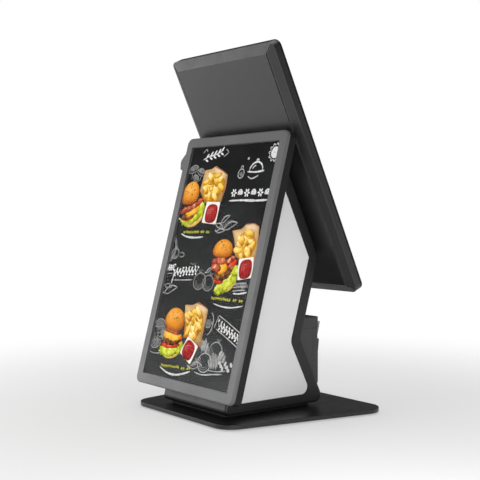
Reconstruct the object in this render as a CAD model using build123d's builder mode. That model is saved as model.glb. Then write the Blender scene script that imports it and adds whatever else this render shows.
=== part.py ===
from build123d import *
import os
from math import cos, hypot, radians, sin, tan

# Dual-screen touch terminal on a weighted base, with a built-in receipt printer.
# Frame: X to the right as the customer sees it, Y towards the operator, Z up.
# The origin is on the counter, under the middle of the base plate. Millimetres.

os.makedirs("parts", exist_ok=True)

# ---- driving dimensions ----

# base
foot_height = 2.0
base_thick = 6.0
base_depth = 256.0
base_front_width = 219.0
base_rear_width = 309.0
base_corner = 28.0
gasket_thick = 3.2

# customer display: place of the lower edge of its face, and its lean away from the customer
front_tilt = 15.0
front_edge_y = -122.5
front_edge_z = 36.5
front_width = 234.0
front_side_depth = 16.6
front_bulge_depth = 25.2

# operator display: middle of its back plate, and its lean away from the operator
rear_tilt = 25.0
rear_y = 16.24
rear_z = 334.28
rear_width = 236.0
rear_depth = 20.3
rear_gap = 4.2
rear_chamfer_in = 13.6
rear_chamfer_deep = 6.1

# both displays
display_height = 371.0
display_corner = 10.0
edge_round = 2.0
bezel_depth = 5.0
wall = 2.2
glass_width = 204.3
glass_height = 341.3
glass_thick = 1.8
glass_recess = 0.6
lcd_thick = 2.2
glass_gap = 0.2
mount_pitch = 75.0

# stand: a bent shell, seen from its side as (y, z) corners
stand_width = 150.0
stand_wall = 3.0
front_rim = 15.0
bottom_rim = 13.7
rear_rim = 16.5
upper_rim = 16.4
elbow_z = 219.7
waist = (31.7, 102.6)
heel_y = 77.0

# receipt printer in the lower rear of the stand
printer_width = 138.0
printer_rear = 68.8
printer_top = 133.3
seam_z = 117.0
printer_front = -14.0
printer_bottom = 18.0
door_thick = 9.2
hinge_y, hinge_z = 63.65, 30.0
roll_y, roll_z, roll_radius = 22.5, 60.0, 30.0
platen_y, platen_z, platen_radius = 55.0, 109.0, 5.5
spindle_radius = 6.0
seam_gap = 0.3

# ---- derived places ----

base_top = foot_height + base_thick
stand_bottom = base_top + gasket_thick
lean_f, lean_r = radians(front_tilt), radians(rear_tilt)
face_height = display_height - 2 * edge_round
half_stand = stand_width / 2
half_printer = printer_width / 2

front_face = Plane(
    origin=(
        0,
        front_edge_y + face_height / 2 * sin(lean_f),
        front_edge_z + face_height / 2 * cos(lean_f),
    ),
    x_dir=(1, 0, 0),
    z_dir=(0, -cos(lean_f), sin(lean_f)),
)
rear_back = Plane(
    origin=(0, rear_y, rear_z), x_dir=(-1, 0, 0), z_dir=(0, cos(lean_r), sin(lean_r))
)


def front_wall_y(z):
    """Y of the stand's front wall at height z."""
    y0 = front_edge_y + front_bulge_depth * cos(lean_f)
    z0 = front_edge_z - front_bulge_depth * sin(lean_f)
    return y0 + (z - z0) * tan(lean_f)


def upper_wall_y(z):
    """Y of the stand's upper rear wall at height z."""
    return rear_y - rear_gap / cos(lean_r) - (z - rear_z) * tan(lean_r)


def apex_point():
    y_front, y_rear = front_wall_y(0), upper_wall_y(0)
    z = (y_rear - y_front) / (tan(lean_f) + tan(lean_r))
    return (front_wall_y(z), z)


# corners in order: toe, heel, waist, elbow, apex
stand_corners = [
    (front_wall_y(stand_bottom), stand_bottom),
    (heel_y, stand_bottom),
    waist,
    (upper_wall_y(elbow_z), elbow_z),
    apex_point(),
]


def inset(points, gaps):
    """Corners of a polygon whose sides lie gaps[i] inside the sides of points."""
    count = len(points)
    lines = []
    for i in range(count):
        (y0, z0), (y1, z1) = points[i], points[(i + 1) % count]
        length = hypot(y1 - y0, z1 - z0)
        dy, dz = (y1 - y0) / length, (z1 - z0) / length
        lines.append((y0 - dz * gaps[i], z0 + dy * gaps[i], dy, dz))
    corners = []
    for i in range(count):
        y0, z0, dy0, dz0 = lines[i - 1]
        y1, z1, dy1, dz1 = lines[i]
        t = ((y1 - y0) * dz1 - (z1 - z0) * dy1) / (dy0 * dz1 - dz0 * dy1)
        corners.append((y0 + t * dy0, z0 + t * dz0))
    return corners


def profile(points, radii):
    """Face of a rounded polygon, inside a BuildSketch."""
    with BuildLine() as outline:
        FilletPolyline(*points, radius=radii, close=True)
    make_face(outline.edges())


def write(builder, name):
    builder.part.label = name
    export_step(builder.part, f"parts/{name}.step")


def block(x, y, z, mode=Mode.ADD):
    """Box between the given lowest and highest x, y and z."""
    with Locations(((x[0] + x[1]) / 2, (y[0] + y[1]) / 2, (z[0] + z[1]) / 2)):
        Box(x[1] - x[0], y[1] - y[0], z[1] - z[0], mode=mode)


def rod(x, y, z, radius, mode=Mode.ADD):
    """Cylinder along X from x[0] to x[1]."""
    with Locations(Plane(origin=(x[0], y, z), x_dir=(0, 1, 0), z_dir=(1, 0, 0))):
        Cylinder(
            radius, x[1] - x[0], align=(Align.CENTER, Align.CENTER, Align.MIN), mode=mode
        )


def slab(plane, low, high, width, height, centre=(0, 0), corner=0.0, mode=Mode.ADD):
    """Plate between two distances along a plane's normal."""
    with BuildSketch(plane.offset(low)) as outline:
        with Locations(centre):
            if corner > 0:
                RectangleRounded(width, height, corner)
            else:
                Rectangle(width, height)
    extrude(outline.sketch, amount=high - low, mode=mode)


def pegs(plane, low, high, radius, places, mode=Mode.ADD):
    """Round pegs or holes between two distances along a plane's normal."""
    with BuildSketch(plane.offset(low)) as outline:
        with Locations(*places):
            Circle(radius)
    extrude(outline.sketch, amount=high - low, mode=mode)


def square(pitch, centre=(0, 0)):
    half = pitch / 2
    return [(centre[0] + i * half, centre[1] + j * half) for i in (-1, 1) for j in (-1, 1)]


# ---- base ----

foot_radius = 10.0
foot_sink = 0.8
foot_places = [(-88, -106), (88, -106), (-124, 104), (124, 104)]
screw_radius = 3.0
screw_places = [(x, y) for x in (-40, 40) for y in (-80, -32, 30)]

with BuildPart() as base_plate:
    with BuildSketch(Plane.XY.offset(foot_height)):
        with BuildLine():
            FilletPolyline(
                (-base_front_width / 2, -base_depth / 2),
                (base_front_width / 2, -base_depth / 2),
                (base_rear_width / 2, base_depth / 2),
                (-base_rear_width / 2, base_depth / 2),
                radius=base_corner,
                close=True,
            )
        make_face()
    extrude(amount=base_thick)
    fillet(base_plate.faces().sort_by(Axis.Z)[-1].edges(), 0.8)
    chamfer(base_plate.faces().sort_by(Axis.Z)[0].edges(), 0.4)
    pegs(Plane.XY, foot_height, foot_height + foot_sink, foot_radius + 0.2, foot_places, Mode.SUBTRACT)
    with Locations(Plane(origin=(0, 0, foot_height), x_dir=(1, 0, 0), z_dir=(0, 0, -1))):
        with Locations(*[(x, -y) for x, y in screw_places]):
            CounterSinkHole(screw_radius + 0.3, 2 * screw_radius + 0.3, base_thick)
write(base_plate, "base_plate")

with BuildPart() as rubber_feet:
    pegs(Plane.XY, 0, foot_height + foot_sink, foot_radius, foot_places)
    fillet(rubber_feet.faces().sort_by(Axis.Z)[:4].edges(), 0.6)
write(rubber_feet, "rubber_feet")

with BuildPart() as base_screws:
    with Locations(*[(x, y, foot_height + 0.3) for x, y in screw_places]):
        Cone(2 * screw_radius, screw_radius, 3.0, align=(Align.CENTER, Align.CENTER, Align.MIN))
        Cylinder(screw_radius, 18.0, align=(Align.CENTER, Align.CENTER, Align.MIN))
    with Locations(*[(x, y, foot_height + 0.3) for x, y in screw_places]):
        with BuildSketch():
            RegularPolygon(2.0, 6)
        extrude(amount=2.0, mode=Mode.SUBTRACT)
write(base_screws, "base_screws")

with BuildPart() as stand_gasket:
    slab(Plane.XY, base_top, stand_bottom, 132, 150, (0, -19), 6)
    pegs(Plane.XY, base_top, stand_bottom, screw_radius + 0.3, screw_places, Mode.SUBTRACT)
write(stand_gasket, "stand_gasket")

# ---- stand ----

side_gaps = [bottom_rim, rear_rim, rear_rim, upper_rim, front_rim]
window_corners = inset(stand_corners, side_gaps)
front_mount_centre = (0, -10)
rear_mount_centre = (0, -38)
front_mounts = square(mount_pitch, front_mount_centre)
rear_mounts = square(mount_pitch, rear_mount_centre)
mount_hole = 2.2
spine_thick = 2.5

with BuildPart() as stand_shell:
    with BuildSketch(Plane.YZ):
        profile(stand_corners, [7, 10.5, 7, 3.6, 4])
    extrude(amount=half_stand, both=True)
    fillet(stand_shell.faces().filter_by(Axis.X).edges(), 3.0)
    with BuildSketch(Plane.YZ):
        profile(inset(stand_corners, [stand_wall] * 5), [4, 7.5, 10, 1, 1])
    extrude(amount=half_stand - stand_wall, both=True, mode=Mode.SUBTRACT)
    with BuildSketch(Plane.YZ):
        profile(window_corners, [6, 11, 17, 3, 2])
    extrude(amount=half_stand + 1, both=True, mode=Mode.SUBTRACT)
    block((-half_printer - 0.4, half_printer + 0.4), (10, 90), (21.5, printer_top + 0.5), Mode.SUBTRACT)
    pegs(Plane.XY, stand_bottom - 1, stand_bottom + 4, screw_radius + 0.3, screw_places, Mode.SUBTRACT)
    pegs(front_face, -32, -24, mount_hole, front_mounts, Mode.SUBTRACT)
    pegs(front_face, -32, -24, 16, [front_mount_centre], Mode.SUBTRACT)
    pegs(rear_back, -9, -3, mount_hole, rear_mounts, Mode.SUBTRACT)
    pegs(rear_back, -9, -3, 16, [rear_mount_centre], Mode.SUBTRACT)
write(stand_shell, "stand_shell")

# white side panels: a face that fills the window, and a wider lip behind the rim
panel_recess = 1.0
panel_fit = 0.3
panel_lip = 5.0
face_gaps = [gap + panel_fit for gap in side_gaps]
lip_gaps = [gap - panel_lip for gap in side_gaps]
panel_edge = half_stand - panel_recess
lip_edge = half_stand - stand_wall - 0.1
lip_thick = 2.2
for name, side in (("side_panel_left", -1), ("side_panel_right", 1)):
    with BuildPart() as side_panel:
        with BuildSketch(Plane.YZ.offset(side * lip_edge)):
            profile(inset(stand_corners, face_gaps), [5.7, 10.7, 17.3, 2.7, 1.7])
        extrude(amount=side * (panel_edge - lip_edge))
        fillet(side_panel.faces().sort_by(Axis.X)[0 if side < 0 else -1].edges(), 0.5)
        with BuildSketch(Plane.YZ.offset(side * lip_edge)):
            profile(inset(stand_corners, lip_gaps), [9, 14, 12, 3, 2])
        extrude(amount=-side * lip_thick)
    write(side_panel, name)

# steel spine: a bent strip lying against the inside of the shell
with BuildPart() as stand_spine:
    with BuildSketch(Plane.YZ):
        profile(inset(stand_corners, [stand_wall + 0.1] * 5), [3.8, 7.3, 10, 1, 1])
        with BuildLine():
            Polyline(*inset(stand_corners, [stand_wall + 0.1 + spine_thick] * 5), close=True)
        make_face(mode=Mode.SUBTRACT)
        with Locations((printer_front - 4, 0)):
            Rectangle(120, 232, align=(Align.MIN, Align.MIN), mode=Mode.SUBTRACT)
    extrude(amount=50, both=True)
    pegs(Plane.XY, stand_bottom, stand_bottom + 8, screw_radius + 0.1, screw_places, Mode.SUBTRACT)
    pegs(front_face, -33, -27, mount_hole, front_mounts, Mode.SUBTRACT)
    pegs(front_face, -33, -27, 14, [front_mount_centre], Mode.SUBTRACT)
    pegs(rear_back, -12, -6, mount_hole, rear_mounts, Mode.SUBTRACT)
    pegs(rear_back, -12, -6, 14, [rear_mount_centre], Mode.SUBTRACT)
write(stand_spine, "stand_spine")

# ---- parts common to both displays ----


def bezel(name, plane, face, width):
    """Ring with a rounded outer edge. Its face lies on plane.offset(face)."""
    with BuildPart() as ring:
        slab(plane, face - bezel_depth, face, width, display_height, corner=display_corner)
        rounded = ring.faces().sort_by(Axis((0, 0, 0), tuple(plane.z_dir)))[-1]
        fillet(rounded.edges(), edge_round)
        slab(
            plane,
            face - bezel_depth,
            face,
            glass_width + 2 * glass_gap,
            glass_height + 2 * glass_gap,
            mode=Mode.SUBTRACT,
        )
    write(ring, name)


def screen_stack(prefix, plane, face):
    """Touch glass, panel, backlight tray and driver board, from the face inwards."""
    glass_front = face - glass_recess
    with BuildPart() as glass:
        slab(plane, glass_front - glass_thick, glass_front, glass_width, glass_height)
    write(glass, f"{prefix}_touch_glass")
    lcd_front = glass_front - glass_thick - 0.1
    with BuildPart() as lcd:
        slab(plane, lcd_front - lcd_thick, lcd_front, glass_width, glass_height)
    write(lcd, f"{prefix}_lcd_panel")
    tray_front = face - bezel_depth - 0.2
    with BuildPart() as tray:
        slab(plane, tray_front - 4.0, tray_front, 214, 345)
        slab(plane, tray_front - 4.0, tray_front - 2.5, 190, 320, mode=Mode.SUBTRACT)
    write(tray, f"{prefix}_backlight_tray")
    board_front = tray_front - 2.7
    with BuildPart() as board:
        slab(plane, board_front - 1.6, board_front, 110, 60, (0, 90))
        for place, size in (((-25, 90), 14), ((10, 100), 9), ((35, 82), 11)):
            slab(plane, board_front - 2.8, board_front - 1.6, size, size, place)
    write(board, f"{prefix}_driver_board")


# ---- customer display ----

bezel("front_bezel", front_face, 0, front_width)
screen_stack("front", front_face, 0)

bulge_width, bulge_height, bulge_corner = 168.0, 260.0, 8.0
io_v = -60.0
io_length = 92.0
io_depths = (-22.9, -16.9)
speaker_u, speaker_v, speaker_width, speaker_height = 60.0, -178.2, 70.0, 9.0

with BuildPart() as front_housing:
    shell_front = -bezel_depth - 0.1
    slab(front_face, -front_side_depth, shell_front, front_width, display_height, corner=display_corner)
    back = front_housing.faces().sort_by(Axis((0, 0, 0), tuple(front_face.z_dir)))[0]
    fillet(back.edges(), 1.2)
    slab(
        front_face,
        -front_side_depth + wall,
        shell_front,
        front_width - 2 * wall,
        display_height - 2 * wall,
        corner=display_corner - wall,
        mode=Mode.SUBTRACT,
    )
    # opening that the electronics reach back through, under their own cover
    slab(
        front_face,
        -front_side_depth,
        -front_side_depth + wall,
        bulge_width - 2 * wall,
        bulge_height - 2 * wall,
        corner=bulge_corner - wall,
        mode=Mode.SUBTRACT,
    )
    # speaker slots in the lower edge
    for side in (-1, 1):
        for i in range(-4, 5):
            slot_place = (side * speaker_u + i * 6.0, -display_height / 2)
            slab(front_face, -11.5, -7.0, 2.0, 2 * wall + 1, slot_place, mode=Mode.SUBTRACT)
write(front_housing, "front_housing")

with BuildPart() as electronics_cover:
    slab(front_face, -front_bulge_depth, -front_side_depth, bulge_width, bulge_height, corner=bulge_corner)
    slab(
        front_face,
        -front_bulge_depth + wall,
        -front_side_depth,
        bulge_width - 2 * wall,
        bulge_height - 2 * wall,
        corner=bulge_corner - wall,
        mode=Mode.SUBTRACT,
    )
    # screw bosses and their holes
    pegs(front_face, -front_bulge_depth + wall, -19.0, 4.5, front_mounts)
    pegs(front_face, -front_bulge_depth, -19.0, 1.9, front_mounts, Mode.SUBTRACT)
    # cable hole
    pegs(front_face, -front_bulge_depth, -front_bulge_depth + wall, 14, [front_mount_centre], Mode.SUBTRACT)
    # socket opening in the left side
    io_place = (-bulge_width / 2, io_v)
    slab(front_face, *io_depths, 2 * wall + 1, io_length, io_place, mode=Mode.SUBTRACT)
    # air slots in the upper end and right side
    for i in range(-6, 7):
        slab(front_face, -22.4, -18.0, 2.2, 2 * wall + 1, (i * 10.0, bulge_height / 2), mode=Mode.SUBTRACT)
        slab(front_face, -22.4, -18.0, 2 * wall + 1, 2.2, (bulge_width / 2, i * 10.0), mode=Mode.SUBTRACT)
write(electronics_cover, "electronics_cover")

with BuildPart() as side_sensor_pod:
    with BuildSketch(front_face.offset(-12.0)) as pod_outline:
        Polygon(
            (-front_width / 2, 163.0),
            (-front_width / 2 - 8.8, 152.8),
            (-front_width / 2 - 9.6, 148.6),
            (-front_width / 2 - 6.6, 137.6),
            (-front_width / 2, 136.0),
            align=None,
        )
        fillet(pod_outline.vertices().sort_by(Axis.X)[:3], 2.5)
    extrude(amount=11.2)
    pod_ends = side_sensor_pod.faces().sort_by(Axis((0, 0, 0), tuple(front_face.z_dir)))
    for end in (pod_ends[0], pod_ends[-1]):
        chamfer(end.edges().filter_by(lambda e: e.center().X < -front_width / 2 - 0.5), 0.8)
write(side_sensor_pod, "side_sensor_pod")

with BuildPart() as mainboard:
    slab(front_face, -16.4, -14.8, 150, 170, (4, -12))
    for place, size, tall in (((-52, 55), 18, 2.0), ((50, 58), 14, 2.5), ((46, -76), 20, 3.0)):
        slab(front_face, -16.4 - tall, -16.4, size, size, place)
write(mainboard, "mainboard")

with BuildPart() as heatsink:
    slab(front_face, -18.4, -16.5, 52, 52, (0, -10))
    for i in range(-5, 6):
        slab(front_face, -22.4, -18.4, 1.6, 52, (i * 5.0, -10))
write(heatsink, "heatsink")

with BuildPart() as speakers:
    for side in (-1, 1):
        place = (side * speaker_u, speaker_v)
        slab(front_face, -12.8, -5.6, speaker_width, speaker_height, place, 2)
write(speakers, "speakers")

# sockets on the left side of the electronics cover, facing -X
io_middle = (io_depths[0] + io_depths[1]) / 2
usb_places = [io_v + 14, io_v + 34]
dc_place = io_v - 30
io_x = -bulge_width / 2
with BuildPart() as io_panel:
    slab(front_face, io_depths[0] + 0.1, io_depths[1] - 0.1, 1.5, io_length - 0.2, (io_x + 0.75, io_v))
    for v in usb_places:
        slab(front_face, io_middle - 2.7, io_middle + 2.7, 3, 13.3, (io_x, v), mode=Mode.SUBTRACT)
    slab(front_face, io_middle - 2.7, io_middle + 2.7, 3, 9.2, (io_x, dc_place), mode=Mode.SUBTRACT)
write(io_panel, "io_panel")

with BuildPart() as usb_sockets:
    for v in usb_places:
        slab(front_face, io_middle - 2.6, io_middle + 2.6, 12, 13.1, (io_x + 5.7, v))
        slab(front_face, io_middle - 2.2, io_middle + 2.2, 3.6, 12.2, (io_x + 1.5, v), mode=Mode.SUBTRACT)
        slab(front_face, io_middle - 0.2, io_middle + 1.5, 3.2, 11.0, (io_x + 2.0, v))
write(usb_sockets, "usb_sockets")

dc_plane = Plane(
    origin=tuple(front_face.from_local_coords((io_x - 0.3, dc_place, io_middle))),
    x_dir=tuple(front_face.y_dir),
    z_dir=(1, 0, 0),
)
with BuildPart() as dc_socket:
    slab(front_face, io_middle - 2.6, io_middle + 2.6, 12, 9.0, (io_x + 5.7, dc_place))
    pegs(dc_plane, 0, 3.5, 2.3, [(0, 0)], Mode.SUBTRACT)
    pegs(dc_plane, 0.6, 3.6, 0.8, [(0, 0)])
write(dc_socket, "dc_socket")

with BuildPart() as front_mount_screws:
    seat = -front_bulge_depth - stand_wall - 0.1 - spine_thick
    pegs(front_face, seat, -20.0, 1.85, front_mounts)
    pegs(front_face, seat - 2.4, seat, 3.6, front_mounts)
    with BuildSketch(front_face.offset(seat - 2.4)):
        with Locations(*front_mounts):
            RegularPolygon(1.5, 6)
    extrude(amount=1.4, mode=Mode.SUBTRACT)
write(front_mount_screws, "front_mount_screws")

# ---- operator display ----

back_width = rear_width - 2 * rear_chamfer_in
back_height = display_height - 2 * rear_chamfer_in
# slope of the chamfer in degrees, which follows from rear_chamfer_in and rear_chamfer_deep
chamfer_angle = 65.84
groove_width, groove_depth = 2.4, 1.2
mitre_groove_width = 1.6
button_v, button_z = -150.0, 11.4
button_length, button_height = 14.0, 4.0

bezel("rear_bezel", rear_back, rear_depth, rear_width)
screen_stack("rear", rear_back, rear_depth)

with BuildPart() as rear_housing:
    shell_top = rear_depth - bezel_depth - 0.1
    with BuildSketch(rear_back):
        Rectangle(back_width, back_height)
    extrude(amount=rear_chamfer_deep, taper=-chamfer_angle)
    slab(rear_back, rear_chamfer_deep, shell_top, rear_width, display_height)
    slab(rear_back, 0, shell_top, rear_width, display_height, corner=display_corner, mode=Mode.INTERSECT)
    slab(rear_back, wall, shell_top, back_width - 4, back_height - 4, mode=Mode.SUBTRACT)
    slab(
        rear_back,
        rear_chamfer_deep + wall,
        shell_top,
        rear_width - 5,
        display_height - 5,
        corner=display_corner - 2.5,
        mode=Mode.SUBTRACT,
    )
    pegs(rear_back, wall, 7.0, 5.0, rear_mounts)
    pegs(rear_back, 0, 7.0, 1.9, rear_mounts, Mode.SUBTRACT)
    pegs(rear_back, 0, wall, 14, [rear_mount_centre], Mode.SUBTRACT)
    # parting grooves along the flat plate's upright edges, which run on down the mitres
    for side in (-1, 1):
        groove_place = (side * (back_width / 2 + groove_width / 4), 0)
        slab(rear_back, 0, groove_depth, groove_width, back_height, groove_place, mode=Mode.SUBTRACT)
        for end in (-1, 1):
            inner_corner = Vector(side * back_width / 2, end * back_height / 2, 0)
            outer_corner = Vector(side * rear_width / 2, end * display_height / 2, rear_chamfer_deep)
            start = rear_back.from_local_coords(inner_corner)
            along = rear_back.from_local_coords(outer_corner) - start
            across = along.cross(rear_back.z_dir)
            with Locations(Plane(origin=start, x_dir=along, z_dir=across)):
                Box(
                    0.8 * along.length,
                    2 * groove_depth,
                    mitre_groove_width,
                    align=(Align.MIN, Align.CENTER, Align.CENTER),
                    mode=Mode.SUBTRACT,
                )
    # power button opening in the side wall on the operator's right
    slab(
        rear_back,
        button_z - button_height / 2 - 0.3,
        button_z + button_height / 2 + 0.3,
        8,
        button_length + 0.6,
        (rear_width / 2, button_v),
        mode=Mode.SUBTRACT,
    )
    # air slots higher up in the same wall
    for i in range(-7, 8):
        slab(rear_back, 8.6, 12.6, 8, 2.2, (rear_width / 2, 60 + i * 8.0), mode=Mode.SUBTRACT)
write(rear_housing, "rear_housing")

with BuildPart() as power_button:
    low, high = button_z - button_height / 2, button_z + button_height / 2
    slab(rear_back, low, high, 5.0, button_length, (rear_width / 2 - 1.9, button_v))
    fillet(power_button.edges().filter_by(lambda e: e.center().X < -rear_width / 2 - 0.4), 0.5)
    slab(rear_back, low - 0.7, high + 0.7, 1.2, button_length + 3, (rear_width / 2 - 3.8, button_v))
write(power_button, "power_button")

with BuildPart() as rear_mount_bracket:
    slab(rear_back, -rear_gap, 0, 120, 118, rear_mount_centre, 8)
    pegs(rear_back, -rear_gap, 0, mount_hole, rear_mounts, Mode.SUBTRACT)
    pegs(rear_back, -rear_gap, 0, 16, [rear_mount_centre], Mode.SUBTRACT)
write(rear_mount_bracket, "rear_mount_bracket")

with BuildPart() as rear_mount_screws:
    seat = -rear_gap - stand_wall - 0.1 - spine_thick
    pegs(rear_back, seat, 6.0, 1.85, rear_mounts)
    pegs(rear_back, seat - 2.4, seat, 3.6, rear_mounts)
    with BuildSketch(rear_back.offset(seat - 2.4)):
        with Locations(*rear_mounts):
            RegularPolygon(1.5, 6)
    extrude(amount=1.4, mode=Mode.SUBTRACT)
write(rear_mount_screws, "rear_mount_screws")

# ---- receipt printer: fixed parts ----

door_inner = printer_rear - door_thick
body_rear = door_inner - seam_gap
bay_half = 42.0
knuckle_x = 58.0
knuckle_radius = 4.0
hinge_pin_radius = 1.5
socket_depth = 5.0

with BuildPart() as printer_body:
    block((-half_printer, half_printer), (printer_front, body_rear), (printer_bottom, seam_z - 0.2))
    block((-50, 50), (-10, 46), (stand_bottom + stand_wall, printer_bottom))
    # paper bay, open to the rear and to the top, and wider where the platen's ears pass
    block((-bay_half, bay_half), (-9, 70), (24, seam_z), Mode.SUBTRACT)
    block((-54, 54), (33, 70), (98, seam_z), Mode.SUBTRACT)
    # slots that the spindle slides into
    for side in (-1, 1):
        reach = sorted((side * bay_half, side * (bay_half + socket_depth)))
        rod(reach, roll_y, roll_z, spindle_radius + 0.1, Mode.SUBTRACT)
        slot_heights = (roll_z - spindle_radius - 0.1, roll_z + spindle_radius + 0.1)
        block(reach, (roll_y, 70), slot_heights, Mode.SUBTRACT)
        # hinge bosses beside the door's knuckle
        boss = sorted((side * (knuckle_x + 0.4), side * half_printer))
        block(boss, (body_rear - 1, printer_rear), (22, hinge_z))
        rod(boss, hinge_y, hinge_z, printer_rear - hinge_y)
        rod(boss, hinge_y, hinge_z, hinge_pin_radius + 0.02, Mode.SUBTRACT)
    rear_screws = screw_places[2::3]
    pegs(Plane.XY, stand_bottom, stand_bottom + 12, screw_radius + 0.1, rear_screws, Mode.SUBTRACT)
write(printer_body, "printer_body")

feed_x, feed_z, feed_radius = -54.0, 125.5, 4.0
led_x, led_radius = -63.0, 1.5
cover_front = 20.0

with BuildPart() as printer_top_cover:
    block((-half_printer, half_printer), (cover_front, printer_rear), (seam_z, printer_top))
    fillet(printer_top_cover.faces().sort_by(Axis.Z)[-1].edges(), 1.6)
    block((-60, 60), (cover_front + 4, printer_rear - 5.7), (seam_z, printer_top - 2.5), Mode.SUBTRACT)
    # slot that the receipt leaves by
    block((-42, 42), (50, 70), (seam_z, seam_z + 2.4), Mode.SUBTRACT)
    with Locations(Plane(origin=(0, printer_rear, feed_z), x_dir=(1, 0, 0), z_dir=(0, -1, 0))):
        with Locations((feed_x, 0)):
            Cylinder(feed_radius + 0.3, 16, mode=Mode.SUBTRACT)
        with Locations((led_x, 0)):
            Cylinder(led_radius, 4, mode=Mode.SUBTRACT)
write(printer_top_cover, "printer_top_cover")

with BuildPart() as tear_bar:
    block((-41.8, 41.8), (64.5, 66.6), (seam_z + 1.6, seam_z + 2.4))
    with BuildSketch(Plane.XY.offset(seam_z + 1.6)):
        with GridLocations(2.0, 1, 41, 1):
            with Locations((0, 67.0)):
                Triangle(a=2.0, B=60, C=60, align=(Align.CENTER, Align.CENTER))
    extrude(amount=0.8)
write(tear_bar, "tear_bar")

with BuildPart() as print_head:
    block((-41.5, 41.5), (45.5, platen_y - platen_radius - 0.3), (103, 115.5))
    block((-41.5, 41.5), (42.5, 45.5), (100, 115.5))
write(print_head, "print_head")

with BuildPart() as head_heatsink:
    block((-41.5, 41.5), (40.0, 42.4), (100, 115.5))
    for i in range(14):
        block((-39.5 + i * 6, -38 + i * 6), (35, 40.0), (100, 115.5))
write(head_heatsink, "head_heatsink")

with BuildPart() as roll_spindle:
    rod((-46.5, 46.5), roll_y, roll_z, spindle_radius)
    chamfer(roll_spindle.edges(), 0.6)
write(roll_spindle, "roll_spindle")

with BuildPart() as door_hinge_pins:
    for side in (-1, 1):
        rod(sorted((side * 48, side * (half_printer - 1))), hinge_y, hinge_z, hinge_pin_radius)
write(door_hinge_pins, "door_hinge_pins")

with BuildPart() as status_led:
    with Locations(Plane(origin=(led_x, printer_rear - 2, feed_z), x_dir=(1, 0, 0), z_dir=(0, 1, 0))):
        Cylinder(led_radius, 2.4, align=(Align.CENTER, Align.CENTER, Align.MIN))
    fillet(status_led.edges().sort_by(Axis.Y)[-1], 0.6)
write(status_led, "status_led")

# ---- receipt printer: moving parts ----

with BuildPart() as feed_button:
    with Locations(Plane(origin=(feed_x, 60.5, feed_z), x_dir=(1, 0, 0), z_dir=(0, 1, 0))):
        Cylinder(feed_radius, printer_rear + 1.6 - 60.5, align=(Align.CENTER, Align.CENTER, Align.MIN))
        Cylinder(feed_radius + 1.2, 1.2, align=(Align.CENTER, Align.CENTER, Align.MIN))
    fillet(feed_button.edges().sort_by(Axis.Y)[-1], 0.6)
write(feed_button, "feed_button")

ear_in, ear_out = 43.5, 47.5
shaft_radius = 2.0
gear_teeth = 18
gear_root = 5.3
lever_y, lever_z, lever_half = 65.0, 86.0, 20.0
lever_pin_radius = 1.2
lever_pocket_y, lever_pocket_z = (62.3, 75.0), (82.6, 105.4)
door_top = seam_z - 0.5
knuckle_top = hinge_z + 6.0
door_relief, relief_inset = 0.9, 0.6
relief_low, relief_high = 38.0, 83.0
ridge_low, ridge_high, ridge_relief = 82.7, 101.2, 2.7

with BuildPart() as printer_door:
    block((-half_printer, half_printer), (door_inner, printer_rear), (knuckle_top, door_top))
    side_edges = printer_door.edges().filter_by(Axis.Z).group_by(Axis.Y)[-1]
    fillet(side_edges, 1.2)
    block((-knuckle_x, knuckle_x), (door_inner + 0.05, printer_rear - 0.05), (hinge_z, knuckle_top))
    rod((-knuckle_x, knuckle_x), hinge_y, hinge_z, knuckle_radius)
    for side in (-1, 1):
        pin_reach = sorted((side * 47, side * (knuckle_x + 1)))
        rod(pin_reach, hinge_y, hinge_z, hinge_pin_radius + 0.06, Mode.SUBTRACT)
        ear = sorted((side * ear_in, side * ear_out))
        block(ear, (platen_y - 4.5, door_inner + 0.5), (103.0, 115.0))
        rod(ear, platen_y, platen_z, shaft_radius + 0.06, Mode.SUBTRACT)
    rod((-ear_in, ear_in), platen_y, platen_z, platen_radius + 0.8, Mode.SUBTRACT)
    rod((ear_out, ear_out + 4.5), platen_y, platen_z, gear_root + 1.9, Mode.SUBTRACT)
    # lower half of the outer face, which stands a little prouder
    block(
        (relief_inset - half_printer, half_printer - relief_inset),
        (printer_rear - 1, printer_rear + door_relief),
        (relief_low, relief_high),
    )
    # grip ridge across the door, on both sides of the release lever
    with BuildSketch(Plane.YZ):
        Polygon(
            (printer_rear - 1, ridge_low),
            (printer_rear + door_relief, ridge_low),
            (printer_rear + ridge_relief, ridge_high - 3.2),
            (printer_rear + ridge_relief, ridge_high - 1.2),
            (printer_rear + ridge_relief - 0.9, ridge_high),
            (printer_rear - 1, ridge_high),
            align=None,
        )
    extrude(amount=half_printer - relief_inset, both=True)
    # pocket for the release lever
    block((-lever_half - 0.5, lever_half + 0.5), lever_pocket_y, lever_pocket_z, Mode.SUBTRACT)
    rod((-lever_half - 3, lever_half + 3), lever_y, lever_z, lever_pin_radius, Mode.SUBTRACT)
write(printer_door, "printer_door")

with BuildPart() as release_lever:
    with BuildSketch(Plane.YZ):
        with BuildLine():
            FilletPolyline(
                (lever_y - 1.6, lever_z - 2.0),
                (lever_y + 3.4, lever_z - 2.0),
                (lever_y + 7.6, 98.6),
                (lever_y + 7.2, 102.4),
                (lever_y + 3.0, 104.6),
                (lever_y - 1.6, 104.6),
                radius=[1.2, 1.2, 4.0, 1.6, 1.0, 0.8],
                close=True,
            )
        make_face()
    extrude(amount=lever_half, both=True)
    rod((-lever_half - 1, lever_half + 1), lever_y, lever_z, lever_pin_radius + 0.06, Mode.SUBTRACT)
write(release_lever, "release_lever")

with BuildPart() as lever_pin:
    rod((-lever_half - 2.9, lever_half + 2.9), lever_y, lever_z, lever_pin_radius)
write(lever_pin, "lever_pin")

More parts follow.
